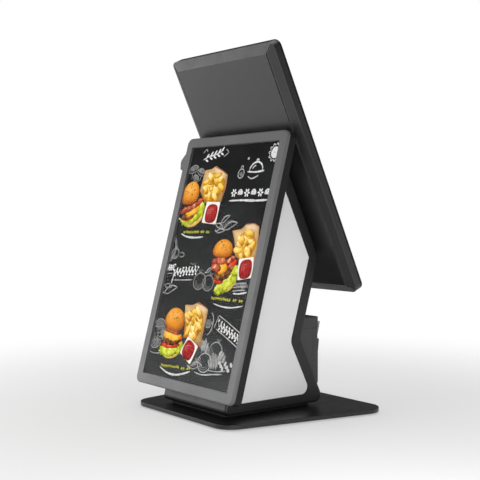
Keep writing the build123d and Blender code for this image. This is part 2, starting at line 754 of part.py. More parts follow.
# clear guide on the door that leads the receipt up and away from the tear bar
guide_left, guide_right = -46.0, 66.0
guide_low, guide_high = 105.6, 125.2
guide_wall = 1.6
guide_outline = [
    (printer_rear, guide_low),
    (printer_rear + 1.9, guide_low),
    (printer_rear + 4.9, 117.0),
    (printer_rear + 6.7, guide_high),
]
with BuildPart() as paper_guide:
    with BuildSketch(Plane.YZ.offset(guide_left)):
        Polygon(
            *guide_outline,
            (printer_rear + 5.0, guide_high),
            (printer_rear + 3.3, 117.0),
            (printer_rear + 1.2, 112.0),
            (printer_rear, 112.0),
            align=None,
        )
    extrude(amount=guide_right - guide_left)
    for end_x in (guide_left, guide_right - guide_wall):
        with BuildSketch(Plane.YZ.offset(end_x)):
            Polygon(
                *guide_outline,
                (printer_rear + 0.6, guide_high),
                (printer_rear + 0.6, 115.5),
                (printer_rear, 115.5),
                align=None,
            )
        extrude(amount=guide_wall)
write(paper_guide, "paper_guide")

with BuildPart() as platen_shaft:
    rod((-ear_out - 0.8, ear_out + 4.2), platen_y, platen_z, shaft_radius)
write(platen_shaft, "platen_shaft")

with BuildPart() as platen_roller:
    rod((-41.5, 41.5), platen_y, platen_z, platen_radius)
    fillet(platen_roller.edges(), 0.4)
    rod((-42, 42), platen_y, platen_z, shaft_radius, Mode.SUBTRACT)
write(platen_roller, "platen_roller")

with BuildPart() as platen_gear:
    rod((ear_out + 0.5, ear_out + 4.0), platen_y, platen_z, gear_root)
    gear_plane = Plane(origin=(ear_out + 0.5, platen_y, platen_z), x_dir=(0, 1, 0), z_dir=(1, 0, 0))
    with BuildSketch(gear_plane):
        with PolarLocations(gear_root + 0.4, gear_teeth):
            Trapezoid(1.3, 1.4, 105, rotation=-90)
    extrude(amount=3.5)
    rod((ear_out, ear_out + 5), platen_y, platen_z, shaft_radius, Mode.SUBTRACT)
write(platen_gear, "platen_gear")

core_radius = 8.0
with BuildPart() as paper_core:
    rod((-39.9, 39.9), roll_y, roll_z, core_radius)
    rod((-41, 41), roll_y, roll_z, spindle_radius + 0.06, Mode.SUBTRACT)
write(paper_core, "paper_core")

with BuildPart() as paper_roll:
    rod((-39.7, 39.7), roll_y, roll_z, roll_radius)
    fillet(paper_roll.edges(), 0.3)
    rod((-41, 41), roll_y, roll_z, core_radius, Mode.SUBTRACT)
write(paper_roll, "paper_roll")
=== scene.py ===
"""Looks of a dual-screen point-of-sale terminal: materials, screen pictures, light and camera."""

from math import cos, hypot, pi, radians, sin
from random import Random

import bpy
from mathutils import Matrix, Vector


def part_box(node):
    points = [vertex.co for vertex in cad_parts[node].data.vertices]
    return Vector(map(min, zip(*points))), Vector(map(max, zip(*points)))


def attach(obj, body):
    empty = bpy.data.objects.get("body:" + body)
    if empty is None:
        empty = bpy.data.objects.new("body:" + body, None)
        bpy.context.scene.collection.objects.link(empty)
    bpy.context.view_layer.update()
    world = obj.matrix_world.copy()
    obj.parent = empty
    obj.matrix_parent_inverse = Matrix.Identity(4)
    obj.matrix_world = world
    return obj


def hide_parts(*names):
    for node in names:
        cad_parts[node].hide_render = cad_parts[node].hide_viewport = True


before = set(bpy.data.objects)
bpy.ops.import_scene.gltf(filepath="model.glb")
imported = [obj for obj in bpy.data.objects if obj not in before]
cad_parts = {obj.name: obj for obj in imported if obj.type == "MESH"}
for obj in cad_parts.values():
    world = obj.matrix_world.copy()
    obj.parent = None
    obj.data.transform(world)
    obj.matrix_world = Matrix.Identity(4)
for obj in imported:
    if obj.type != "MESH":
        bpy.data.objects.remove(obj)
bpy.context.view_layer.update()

MM = 0.001


# ---------------------------------------------------------------- camera and studio

CAMERA_PLACE = (1.0960, -0.8608, 0.2868)
CAMERA_AZIMUTH = 52.4702
CAMERA_PITCH = 1.8427
CAMERA_LENS = 72.464
SENSOR_WIDTH = 36.0
BACKDROP_WHITE = 1.0
# brightness of the surround that lights the terminal, by how steeply one looks up at it, 1 being overhead
SKY_LEVELS = ((0.0, 0.34), (0.12, 0.24), (0.26, 0.06), (0.6, 0.1), (1.0, 0.75))
FLOOR_RADIUS = 4.0
FLOOR_GREY = 0.93
# the floor's own glow: its share beside the terminal, and the distances between which it takes over
FLOOR_GLOW = 0.38
GLOW_NEAR, GLOW_FAR = 0.24, 0.9


def new_node(tree, kind, values=None):
    """Adds a shader node and sets some of its inputs."""
    node = tree.nodes.new(kind)
    for label, value in (values or {}).items():
        node.inputs[label].default_value = value
    return node


def set_stops(node, stops):
    """Gives a colour ramp its stops, each (position, (r, g, b)), lowest first."""
    steps = node.color_ramp.elements
    for extra in stops[2:]:
        steps.new(extra[0])
    for step, (position, colour) in zip(steps, stops):
        step.position = position
        step.color = (*colour, 1)


def add_camera():
    """Camera a little above half the terminal's height, which sees its front and its right side."""
    data = bpy.data.cameras.new("camera")
    data.lens = CAMERA_LENS
    data.sensor_width = SENSOR_WIDTH
    data.clip_start, data.clip_end = 0.05, 50.0
    holder = bpy.data.objects.new("camera", data)
    holder.location = CAMERA_PLACE
    holder.rotation_euler = (radians(90 - CAMERA_PITCH), 0.0, radians(CAMERA_AZIMUTH))
    bpy.context.scene.collection.objects.link(holder)
    bpy.context.scene.camera = holder


def softbox(name, place, aim, size, radiance):
    """Rectangular light at place, pointed at aim, with an even brightness over its face."""
    light = bpy.data.lights.new(name, "AREA")
    light.shape = "RECTANGLE"
    light.size, light.size_y = size
    light.energy = radiance * pi * size[0] * size[1]
    holder = bpy.data.objects.new(name, light)
    holder.location = place
    holder.rotation_euler = (Vector(aim) - Vector(place)).to_track_quat("-Z", "Y").to_euler()
    holder.visible_camera = False
    bpy.context.scene.collection.objects.link(holder)


def blend_to_output(tree, output, amount, first, second):
    """Ends a node tree in a blend of two shaders."""
    mix = new_node(tree, "ShaderNodeMixShader")
    for source, socket in zip((amount, first.outputs[0], second.outputs[0]), mix.inputs):
        tree.links.new(source, socket)
    tree.links.new(mix.outputs[0], new_node(tree, output).inputs["Surface"])


def add_world():
    """White surround for the camera, and a dimmer one, with a dark band part way up, for the light."""
    world = bpy.data.worlds.new("studio")
    bpy.context.scene.world = world
    world.use_nodes = True
    tree = world.node_tree
    tree.nodes.clear()
    parts = new_node(tree, "ShaderNodeSeparateXYZ")
    tree.links.new(new_node(tree, "ShaderNodeTexCoord").outputs["Generated"], parts.inputs[0])
    height = new_node(tree, "ShaderNodeValToRGB")
    set_stops(height, [(up, (level, level, level)) for up, level in SKY_LEVELS])
    tree.links.new(parts.outputs["Z"], height.inputs["Fac"])
    dim = new_node(tree, "ShaderNodeBackground")
    tree.links.new(height.outputs["Color"], dim.inputs["Color"])
    white = new_node(tree, "ShaderNodeBackground", {"Color": (1, 1, 1, 1), "Strength": BACKDROP_WHITE})
    seen = new_node(tree, "ShaderNodeLightPath").outputs["Is Camera Ray"]
    blend_to_output(tree, "ShaderNodeOutputWorld", seen, dim, white)


def floor_material():
    """White matt ground that melts into the white surround away from the terminal."""
    made = bpy.data.materials.new("studio_floor")
    made.use_nodes = True
    tree = made.node_tree
    tree.nodes.clear()
    distance = new_node(tree, "ShaderNodeVectorMath")
    distance.operation = "LENGTH"
    tree.links.new(new_node(tree, "ShaderNodeTexCoord").outputs["Object"], distance.inputs[0])
    fade = {"From Min": GLOW_NEAR, "From Max": GLOW_FAR, "To Min": FLOOR_GLOW}
    away = new_node(tree, "ShaderNodeMapRange", fade)
    away.interpolation_type = "SMOOTHSTEP"
    tree.links.new(distance.outputs["Value"], away.inputs["Value"])
    lit = new_node(tree, "ShaderNodeBsdfDiffuse", {"Color": (FLOOR_GREY, FLOOR_GREY, FLOOR_GREY, 1)})
    glow = new_node(tree, "ShaderNodeEmission", {"Strength": BACKDROP_WHITE})
    blend_to_output(tree, "ShaderNodeOutputMaterial", away.outputs["Result"], lit, glow)
    return made


def add_floor():
    """Round floor, level with the bottom of the rubber feet."""
    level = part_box("rubber_feet")[0].z
    rim = [
        (FLOOR_RADIUS * cos(turn * pi / 48), FLOOR_RADIUS * sin(turn * pi / 48), level)
        for turn in range(96)
    ]
    mesh = bpy.data.meshes.new("floor")
    mesh.from_pydata(rim, [], [list(range(96))])
    mesh.materials.append(floor_material())
    ground = bpy.data.objects.new("floor", mesh)
    bpy.context.scene.collection.objects.link(ground)


def add_studio():
    """Soft light from both sides, the front and above, and a narrow one low down by the base."""
    bpy.context.scene.view_settings.view_transform = "Standard"
    add_world()
    add_floor()
    middle = (0.0, 0.0, 0.25)
    softbox("light_right", (2.2, -0.1, 0.4), middle, (1.6, 1.1), 0.9)
    softbox("light_low", (0.62, -0.3, 0.13), (0.08, 0.0, 0.02), (0.5, 0.16), 5.5)
    softbox("light_left", (-1.9, -1.35, 0.42), middle, (2.1, 1.2), 2.5)
    softbox("light_front", (-0.6, -2.2, 1.1), middle, (1.4, 1.4), 1.9)
    softbox("light_top", (0.0, 0.3, 2.2), middle, (1.5, 1.5), 1.6)


# ---------------------------------------------------------------- materials


class Surface:
    """A Principled material whose colour, roughness and relief come from noise in the row frame."""

    def __init__(self, name, roughness=0.5, metallic=0.0, specular=0.5):
        self.material = bpy.data.materials.new(name)
        self.material.use_nodes = True
        self.tree = self.material.node_tree
        self.shader = self.tree.nodes["Principled BSDF"]
        self.shader.inputs["Roughness"].default_value = roughness
        self.shader.inputs["Metallic"].default_value = metallic
        self.shader.inputs["Specular IOR Level"].default_value = specular
        self.place = self.node("ShaderNodeTexCoord").outputs["Object"]
        self.normal = None

    def node(self, kind, values=None):
        return new_node(self.tree, kind, values)

    def link(self, source, target):
        self.tree.links.new(source, target)

    def noise(self, scale, detail=3.0, stretch=(1, 1, 1)):
        """Noise with about one blotch per 1/scale metres. Stretch divides the scale along an axis."""
        mapping = self.node("ShaderNodeMapping", {"Scale": [1 / s for s in stretch]})
        self.link(self.place, mapping.inputs["Vector"])
        noise = self.node("ShaderNodeTexNoise", {"Scale": scale, "Detail": detail})
        self.link(mapping.outputs["Vector"], noise.inputs["Vector"])
        return noise.outputs["Fac"]

    def cells(self, scale):
        """Distance to the nearest of a field of scattered points."""
        voronoi = self.node("ShaderNodeTexVoronoi", {"Scale": scale})
        self.link(self.place, voronoi.inputs["Vector"])
        return voronoi.outputs["Distance"]

    def attribute(self, name):
        node = self.node("ShaderNodeAttribute")
        node.attribute_name = name
        return node.outputs["Fac"]

    def spread(self, source, low, high, source_low=0.3, source_high=0.7):
        """Source mapped from its usual range to low..high."""
        reach = {"From Min": source_low, "From Max": source_high, "To Min": low, "To Max": high}
        node = self.node("ShaderNodeMapRange", reach)
        self.link(source, node.inputs["Value"])
        return node.outputs["Result"]

    def math(self, operation, first, second):
        node = self.node("ShaderNodeMath")
        node.operation = operation
        for socket, value in zip(node.inputs, (first, second)):
            if isinstance(value, (int, float)):
                socket.default_value = value
            else:
                self.link(value, socket)
        return node.outputs[0]

    def vector_math(self, operation, first, second=None):
        """Vector operation on a linked first input, and on a linked or constant second one."""
        node = self.node("ShaderNodeVectorMath")
        node.operation = operation
        self.link(first, node.inputs[0])
        if isinstance(second, (tuple, Vector)):
            node.inputs[1].default_value = second
        elif second is not None:
            self.link(second, node.inputs[1])
        return node.outputs["Value" if operation in ("LENGTH", "DOT_PRODUCT") else "Vector"]

    def ramp(self, source, stops):
        """Colours along source."""
        node = self.node("ShaderNodeValToRGB")
        set_stops(node, stops)
        self.link(source, node.inputs["Fac"])
        return node.outputs["Color"]

    def tones(self, source, colour, amount, low=0.3, high=0.7):
        """The colour, from darker to lighter by amount along source."""
        dark = tuple(c * (1 - amount) for c in colour)
        light = tuple(min(1.0, c * (1 + amount)) for c in colour)
        return self.ramp(source, [(low, dark), (high, light)])

    def mix(self, amount, first, second):
        node = self.node("ShaderNodeMix")
        node.data_type = "RGBA"
        for socket, value in zip((node.inputs[0], node.inputs[6], node.inputs[7]), (amount, first, second)):
            if isinstance(value, tuple):
                socket.default_value = (*value, 1)
            elif isinstance(value, (int, float)):
                socket.default_value = value
            else:
                self.link(value, socket)
        return node.outputs[2]

    def colour(self, source):
        self.link(source, self.shader.inputs["Base Color"])

    def rough(self, source):
        self.link(source, self.shader.inputs["Roughness"])

    def glow(self, source, strength):
        self.link(source, self.shader.inputs["Emission Color"])
        self.shader.inputs["Emission Strength"].default_value = strength

    def picture(self, source, strength, ground=0.01):
        """A screen's picture: it glows in the colour of source over a nearly black ground."""
        self.shader.inputs["Base Color"].default_value = (ground, ground, ground, 1)
        self.glow(source, strength)
        return self.material

    def relief(self, source, depth):
        """Raises the surface by depth metres where source is 1."""
        node = self.node("ShaderNodeBump", {"Strength": 1.0, "Distance": depth})
        self.link(source, node.inputs["Height"])
        if self.normal is not None:
            self.link(self.normal, node.inputs["Normal"])
        self.normal = node.outputs["Normal"]
        self.link(self.normal, self.shader.inputs["Normal"])

    def edges(self, radius=0.7 * MM):
        """1 along sharp outer edges and 0 on flat faces, from a rounded copy of the normal."""
        soft = self.node("ShaderNodeBevel", {"Radius": radius})
        soft.samples = 4
        flat = self.node("ShaderNodeNewGeometry").outputs["True Normal"]
        agreement = self.vector_math("DOT_PRODUCT", soft.outputs["Normal"], flat)
        return self.spread(agreement, 1.0, 0.0, 0.85, 0.995)


def powder_coat(name, colour, grain=2400.0, roughness=0.46, specular=0.5, edge_wear_and_highlight=0.25, texture=0.02):
    """Satin paint on metal: a fine orange-peel grain, cloudy gloss, and sharp edges made paler, partly as
    wear and partly as a painted highlight.
    """
    made = Surface(name, roughness, 0.0, specular)
    body = made.tones(made.noise(14.0, 4.0), colour, 0.10)
    # sharp edges made paler: partly wear, partly a painted highlight standing in for light caught on them
    edge_highlight = made.math("MULTIPLY", made.edges(), made.spread(made.noise(90.0), 0.2, 1.0))
    edge = tuple(min(1.0, c * 1.7 + 0.01) for c in colour)
    made.colour(made.mix(made.math("MULTIPLY", edge_highlight, edge_wear_and_highlight), body, edge))
    made.rough(made.spread(made.noise(45.0, 5.0), roughness - 0.04, roughness + 0.05))
    made.relief(made.noise(grain, 2.0), texture * MM)
    made.relief(made.noise(320.0, 2.0), 0.012 * MM)
    return made.material


def panel_coat(name, colour):
    """Smooth white paint with only a trace of cloud and a very fine peel."""
    made = Surface(name, 0.42, 0.0, 0.4)
    made.colour(made.tones(made.noise(6.0, 3.0), colour, 0.012))
    made.rough(made.spread(made.noise(30.0, 4.0), 0.39, 0.46))
    made.relief(made.noise(1800.0, 2.0), 0.006 * MM)
    return made.material


def moulded(name, colour, grain=1500.0, roughness=0.55, specular=0.45, texture=0.03, edge_highlight=0.0):
    """Moulded plastic with a spark-eroded texture, faint flow marks and, when asked, a painted highlight
    along its sharp edges.
    """
    made = Surface(name, roughness, 0.0, specular)
    body = made.tones(made.noise(9.0, 5.0, (1, 1, 3)), colour, 0.12, 0.32, 0.68)
    # painted highlight: a lighter grey along sharp edges, standing in for light caught on them
    if edge_highlight:
        highlight_mask = made.math("MULTIPLY", made.edges(0.9 * MM), made.spread(made.noise(40.0), 0.6, 1.0))
        body = made.mix(made.math("MULTIPLY", highlight_mask, edge_highlight), body, EDGE_HIGHLIGHT_GREY)
    made.colour(body)
    made.rough(made.spread(made.noise(60.0, 4.0), roughness - 0.05, roughness + 0.06))
    made.relief(made.cells(grain), texture * MM)
    made.relief(made.noise(500.0, 2.0), 0.01 * MM)
    return made.material


def rubber(name, colour):
    """Matt rubber with a dusty bloom."""
    made = Surface(name, 0.85, 0.0, 0.25)
    made.colour(made.tones(made.noise(120.0, 6.0), colour, 0.3, 0.35, 0.75))
    made.relief(made.noise(900.0, 4.0), 0.05 * MM)
    return made.material


def machined(name, colour, roughness=0.3, along=(1, 1, 1)):
    """Bare metal with fine lines along one direction."""
    made = Surface(name, roughness, 1.0)
    lines = made.noise(900.0, 3.0, along)
    made.colour(made.tones(lines, colour, 0.12))
    made.rough(made.spread(lines, roughness - 0.08, roughness + 0.12))
    made.relief(lines, 0.01 * MM)
    return made.material


def circuit_board(name):
    """Green solder mask with paler copper tracks under it."""
    made = Surface(name, 0.35)
    brick = made.node("ShaderNodeTexBrick", {"Scale": 120.0, "Mortar Size": 0.03})
    made.link(made.place, brick.inputs["Vector"])
    bare_mask, mask_on_copper = (0.008, 0.07, 0.03), (0.02, 0.15, 0.06)
    tracks = made.ramp(made.noise(260.0, 1.0), [(0.47, bare_mask), (0.53, mask_on_copper)])
    made.colour(made.mix(brick.outputs["Fac"], tracks, (0.03, 0.22, 0.10)))
    made.relief(made.noise(260.0, 1.0), 0.03 * MM)
    return made.material


def clear_plastic(name):
    """Frosted clear plastic, whiter in streaks where it scatters the light."""
    made = Surface(name, 0.3, 0.0, 0.6)
    streaks = made.noise(60.0, 4.0, (1, 1, 3))
    made.colour(made.ramp(streaks, [(0.3, (0.20, 0.205, 0.21)), (0.7, (0.34, 0.345, 0.35))]))
    made.shader.inputs["Alpha"].default_value = 0.95
    made.relief(made.noise(120.0, 2.0), 0.02 * MM)
    return made.material


def touch_glass(name, film):
    """Anti-glare glass: mostly see-through, with a faint even reflection."""
    made = Surface(name, 0.1, 0.0, 0.5)
    clouds = made.noise(20.0)
    made.colour(made.ramp(clouds, [(0.3, (0.003, 0.003, 0.004)), (0.7, (0.006, 0.006, 0.007))]))
    made.rough(made.spread(made.noise(35.0, 5.0), 0.08, 0.14))
    made.shader.inputs["Alpha"].default_value = film
    return made.material


def paper(name, colour):
    """Matt paper or card with fine fibres."""
    made = Surface(name, 0.8, 0.0, 0.2)
    strands = made.noise(700.0, 6.0, (1, 4, 1))
    made.colour(made.tones(strands, colour, 0.05, 0.35, 0.65))
    made.relief(strands, 0.02 * MM)
    return made.material


def wound_paper(name, colour):
    """Thermal paper roll: the ends show the edges of its turns as fine rings."""
    made = Surface(name, 0.75, 0.0, 0.2)
    low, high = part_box("paper_roll")
    from_axle = made.vector_math("SUBTRACT", made.place, (low + high) / 2)
    across = made.vector_math("MULTIPLY", from_axle, (0, 1, 1))
    rings = made.math("MULTIPLY", made.vector_math("LENGTH", across), RING_WAVE)
    turns = made.math("SINE", rings, 0.0)
    made.colour(made.tones(made.spread(turns, 0.0, 1.0, -1.0, 1.0), colour, 0.06, 0.0, 1.0))
    made.relief(turns, 0.02 * MM)
    return made.material


def light_pipe(name, colour):
    """Lit indicator lens."""
    made = Surface(name, 0.25)
    tone = made.ramp(made.noise(900.0), [(0.3, tuple(c * 0.8 for c in colour)), (0.7, colour)])
    made.colour(tone)
    made.glow(tone, 1.6)
    return made.material


# rings of the paper roll, in radians of a wave per metre outwards
RING_WAVE = 9000.0
CHARCOAL = (0.014, 0.014, 0.0145)
NEAR_BLACK = (0.005, 0.005, 0.0052)
STAND_BLACK = (0.006, 0.006, 0.0062)
# painted light: the bezel's grey, far lighter than the casing, stands in for the front light on its face
LIT_BEZEL_GREY = (0.115, 0.115, 0.117)
# lighter grey of the painted highlight along edges
EDGE_HIGHLIGHT_GREY = (0.16, 0.16, 0.163)


def dress_cad_nodes():
    """Gives each CAD node its material."""
    stand = powder_coat("stand_powder_coat", STAND_BLACK, roughness=0.42, specular=0.55)
    base = powder_coat("base_powder_coat", NEAR_BLACK, grain=1700.0, roughness=0.36, specular=0.6)
    # painted light on the bezel and sensor pod: their lighter grey stands in for the front light
    bezel = powder_coat("bezel_paint_with_painted_light", LIT_BEZEL_GREY, roughness=0.44, specular=0.6)
    white = panel_coat("side_panel_white", (0.80, 0.80, 0.805))
    casing = moulded("casing_plastic", NEAR_BLACK, roughness=0.45, specular=0.32)
    # the operator casing gets a painted highlight along its edges
    back_shell = moulded("operator_casing_plastic", CHARCOAL, roughness=0.38, specular=0.62, edge_highlight=1.0)
    printer = moulded("printer_plastic", (0.045, 0.045, 0.046), roughness=0.42)
    button = moulded("button_plastic", (0.09, 0.09, 0.092), 2600.0, 0.38)
    steel = machined("zinc_plated_steel", (0.56, 0.56, 0.57), 0.32, (6, 1, 1))
    sheet_metal = machined("aluminium_sheet", (0.78, 0.78, 0.79), 0.36, (1, 1, 8))
    black_rubber = rubber("black_rubber", (0.02, 0.02, 0.02))
    board = circuit_board("circuit_board")
    acetal = moulded("acetal", (0.78, 0.78, 0.74), 900.0, 0.4)
    glass = touch_glass("touch_glass", 0.04)
    wanted = {
        base: ["base_plate"],
        stand: ["stand_shell", "rear_mount_bracket"],
        white: ["side_panel_left", "side_panel_right"],
        bezel: ["front_bezel", "side_sensor_pod"],
        casing: ["front_housing", "electronics_cover", "speakers", "io_panel", "rear_bezel"],
        back_shell: ["rear_housing"],
        printer: ["printer_body", "printer_top_cover", "printer_door"],
        button: ["power_button", "feed_button", "release_lever", "print_head", "dc_socket"],
        steel: [
            "base_screws", "stand_spine", "front_mount_screws", "rear_mount_screws", "usb_sockets",
            "tear_bar", "door_hinge_pins", "lever_pin", "platen_shaft",
        ],
        sheet_metal: ["front_backlight_tray", "rear_backlight_tray", "heatsink", "head_heatsink"],
        black_rubber: ["rubber_feet", "stand_gasket", "platen_roller"],
        board: ["front_driver_board", "mainboard", "rear_driver_board"],
        acetal: ["roll_spindle", "platen_gear"],
        glass: ["front_touch_glass", "rear_touch_glass"],
        clear_plastic("clear_guide"): ["paper_guide"],
        light_pipe("status_light", (0.08, 0.8, 0.25)): ["status_led"],
        wound_paper("wound_paper", (0.9, 0.9, 0.88)): ["paper_roll"],
        paper("core_card", (0.42, 0.29, 0.18)): ["paper_core"],
    }
    for made, names in wanted.items():
        for name in names:
            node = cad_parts[name]
            if not node.material_slots:
                node.data.materials.append(made)
            for slot in node.material_slots:
                slot.material = made


# ---------------------------------------------------------------- pictures on the displays


BOARD_THICK = 0.7 * MM
LAYER_STEP = 0.1 * MM
# layers of the menu picture, from the board outwards
CHALK, BAG, BAG_INSIDE, FRIES, TRAY, SAUCE, SHINE = 1, 2, 3, 4, 7, 8, 9
BOTTOM_BUN, LETTUCE, TOMATO, PATTY, CHEESE, BACON, TOP_BUN, SEEDS = 3, 4, 5, 6, 7, 8, 9, 10
# every stroke is this much wider and brighter than the drawing's own figures
STROKE_BOOST = 1.35
# shade in the middle of a rounded patch, and how much it falls off to the rim
MIDDLE_SHADE, RIM_FALL = 0.62, 0.42
MENU_STRENGTH = 1.12


class Display:
    """A display's own directions, and a layout in hundredths of its height, x right and y down."""

    def __init__(self, prefix, right, up):
        self.lcd = f"{prefix}_lcd_panel"
        self.right, self.up = Vector(right), Vector(up)
        self.out = self.right.cross(self.up)
        self.left_edge, self.right_edge = self.span(self.right)
        self.bottom, self.top = self.span(self.up)
        self.back, self.front = self.span(self.out)
        self.unit = (self.top - self.bottom) / 100
        self.width = (self.right_edge - self.left_edge) / self.unit

    def span(self, axis):
        reach = [axis.dot(v.co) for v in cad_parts[self.lcd].data.vertices]
        return min(reach), max(reach)

    def point(self, x, y, height):
        """Place in the row frame of a layout point, height metres in front of the panel's back."""
        along = self.left_edge + min(max(x, 0.0), self.width) * self.unit
        upward = self.top - min(max(y, 0.0), 100.0) * self.unit
        return self.right * along + self.up * upward + self.out * (self.back + height)


class Print:
    """Flat shapes of one material on a display. Each vertex has a shade and a tint, from 0 to 1."""

    def __init__(self, name, display, material):
        self.name, self.display, self.material = name, display, material
        self.points, self.faces, self.shades, self.tints = [], [], [], []

    def vertex(self, x, y, layer, shade, tint):
        self.points.append(self.display.point(x, y, BOARD_THICK + layer * LAYER_STEP))
        self.shades.append(shade)
        self.tints.append(tint)
        return len(self.points) - 1

    def patch(self, outline, layer, tint=0.5, rings=5, lit=(-0.35, -0.75), contrast=0.5, even=None):
        """Fills a closed outline in rings, shaded evenly or as a rounded form lit from above."""
        count = len(outline)
        cx = sum(p[0] for p in outline) / count
        cy = sum(p[1] for p in outline) / count
        reach = max(hypot(x - cx, y - cy) for x, y in outline)
        hub = self.vertex(cx, cy, layer, MIDDLE_SHADE if even is None else even, tint)
        last = []
        for ring in range(1, rings + 1):
            part = ring / rings
            row = []
            for x, y in outline:
                dx, dy = (x - cx) * part, (y - cy) * part
                facing = (dx * lit[0] + dy * lit[1]) / reach
                shade = MIDDLE_SHADE + contrast * facing - RIM_FALL * part**3 if even is None else even
                row.append(self.vertex(cx + dx, cy + dy, layer, max(0.0, min(1.0, shade)), tint))
            for i in range(count):
                j = (i + 1) % count
                if last:
                    self.faces.append((last[i], row[i], row[j], last[j]))
                else:
                    self.faces.append((hub, row[i], row[j]))
            last = row

    def dab(self, outline, tint, even):
        """Small chalk patch of one shade."""
        self.patch(outline, CHALK, tint, 1, even=even)

    def stroke(self, points, width, tint=1.0, layer=CHALK, closed=False, taper=True, dice=None):
        """Ribbon along a smooth line through the points, with an uneven edge."""
        dice = dice or Random(7)
        width, tint = width * STROKE_BOOST, min(1.0, tint * STROKE_BOOST)
        line = smooth_line(points, closed)
        rows = []
        for i, (x, y) in enumerate(line):
            ahead = line[(i + 1) % len(line)] if closed else line[min(i + 1, len(line) - 1)]
            behind = line[i - 1] if closed else line[max(i - 1, 0)]
            dx, dy = ahead[0] - behind[0], ahead[1] - behind[1]
            length = hypot(dx, dy) or 1.0
            half = width / 2 * dice.uniform(0.7, 1.2)
            if taper and not closed:
                part = i / (len(line) - 1)
                half *= min(1.0, 0.35 + 4 * min(part, 1 - part))
            nx, ny = -dy / length * half, dx / length * half
            level = tint * dice.uniform(0.75, 1.0)
            rows.append((
                self.vertex(x + nx, y + ny, layer, level, tint),
                self.vertex(x - nx, y - ny, layer, level, tint),
            ))
        pairs = list(zip(rows, rows[1:] + (rows[:1] if closed else [])))
        for (a, b), (c, d) in pairs:
            self.faces.append((a, b, d, c))

    def finish(self, body, slot):
        mesh = bpy.data.meshes.new(self.name)
        mesh.from_pydata(self.points, [], self.faces)
        for label, values in (("shade", self.shades), ("tint", self.tints)):
            store = mesh.attributes.new(label, "FLOAT", "POINT")
            store.data.foreach_set("value", values)
        mesh.materials.append(self.material)
        self.turn_outwards(mesh)
        piece = bpy.data.objects.new(self.name, mesh)
        bpy.context.scene.collection.objects.link(piece)
        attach(piece, body)
        return piece

    def turn_outwards(self, mesh):
        """Makes every face look out of the display."""
        inward = [face for face in mesh.polygons if face.normal.dot(self.display.out) < 0]
        for face in inward:
            face.flip()
        mesh.update()


def smooth_line(points, closed=False, steps=6):
    """Points along a Catmull-Rom curve through the given ones."""
    count = len(points)
    if count < 3 and not closed:
        (x0, y0), (x1, y1) = points[0], points[-1]
        return [(x0 + (x1 - x0) * i / 8, y0 + (y1 - y0) * i / 8) for i in range(9)]
    line = []
    for i in range(count if closed else count - 1):
        if closed:
            four = [points[(i + k) % count] for k in (-1, 0, 1, 2)]
        else:
            four = [points[min(max(i + k, 0), count - 1)] for k in (-1, 0, 1, 2)]
        for step in range(steps):
            t = step / steps
            weights = (
                -0.5 * t + t * t - 0.5 * t**3,
                1 - 2.5 * t * t + 1.5 * t**3,
                0.5 * t + 2 * t * t - 1.5 * t**3,
                -0.5 * t * t + 0.5 * t**3,
            )
            line.append(tuple(sum(w * p[axis] for w, p in zip(weights, four)) for axis in (0, 1)))
    if not closed:
        line.append(points[-1])
    return line


def arc(cx, cy, rx, ry, start=0.0, end=360.0, turn=0.0, count=14):
    """Points on an ellipse's arc, in degrees clockwise from its right end, turned about its centre."""
    made = []
    full = end - start >= 360
    for i in range(count):
        a = radians(start + (end - start) * i / (count if full else count - 1))
        x, y = rx * cos(a), ry * sin(a)
        made.append(rotated(x, y, cx, cy, turn))
    return made


def rotated(x, y, cx, cy, turn):
    a = radians(turn)
    return (cx + x * cos(a) - y * sin(a), cy + x * sin(a) + y * cos(a))


def turned(points, cx, cy, turn):
    """Points given round (0, 0), moved to (cx, cy) and turned there."""
    return [rotated(x, y, cx, cy, turn) for x, y in points]


def blob(cx, cy, rx, ry, turn=0.0, wobble=0.0, lobes=9, seed=1, flat=0.0):
    """Closed outline of an ellipse with a wavy edge. Flat squares off its lower half."""
    dice = Random(seed)
    phases = [dice.uniform(0, 2 * pi) for _ in range(3)]
    made = []
    for i in range(56):
        a = 2 * pi * i / 56
        wave = sin(lobes * a + phases[0]) + 0.6 * sin((lobes * 1.7 + 1) * a + phases[1])
        wave += 0.5 * sin(2 * a + phases[2])
        grow = 1 + wobble * wave
        x, y = rx * cos(a) * grow, ry * sin(a) * grow
        if flat and y > 0:
            y *= 1 - flat
        made.append(rotated(x, y, cx, cy, turn))
    return made


def corners(points, round_off=0.12, steps=3):
    """Closed outline of a polygon with its corners rounded and its sides divided."""
    made = []
    count = len(points)
    for i in range(count):
        before, here, after = points[i - 1], points[i], points[(i + 1) % count]
        start = [here[k] + (before[k] - here[k]) * round_off for k in (0, 1)]
        stop = [here[k] + (after[k] - here[k]) * round_off for k in (0, 1)]
        for step in range(steps + 1):
            t = step / steps
            made.append(tuple(
                (1 - t) ** 2 * start[k] + 2 * t * (1 - t) * here[k] + t * t * stop[k] for k in (0, 1)
            ))
        ahead = [after[k] + (here[k] - after[k]) * round_off for k in (0, 1)]
        for t in (0.2, 0.4, 0.6, 0.8):
            made.append(tuple(stop[k] + (ahead[k] - stop[k]) * t for k in (0, 1)))
    return made


def lit_print(name, grain, amount, stops):
    """Lit picture colour: a ramp along the shade, broken up by noise of the food's own grain."""
    made = Surface(name, 0.5, 0.0, 0.0)
    shade = made.attribute("shade")
    rough_part = made.spread(made.noise(grain, 4.0), -amount, amount)
    fine_part = made.spread(made.noise(900.0, 2.0), -amount * 0.35, amount * 0.35)
    tint = made.spread(made.attribute("tint"), -0.16, 0.16, 0.0, 1.0)
    total = made.math("ADD", made.math("ADD", shade, rough_part), made.math("ADD", fine_part, tint))
    return made.picture(made.ramp(total, stops), MENU_STRENGTH)


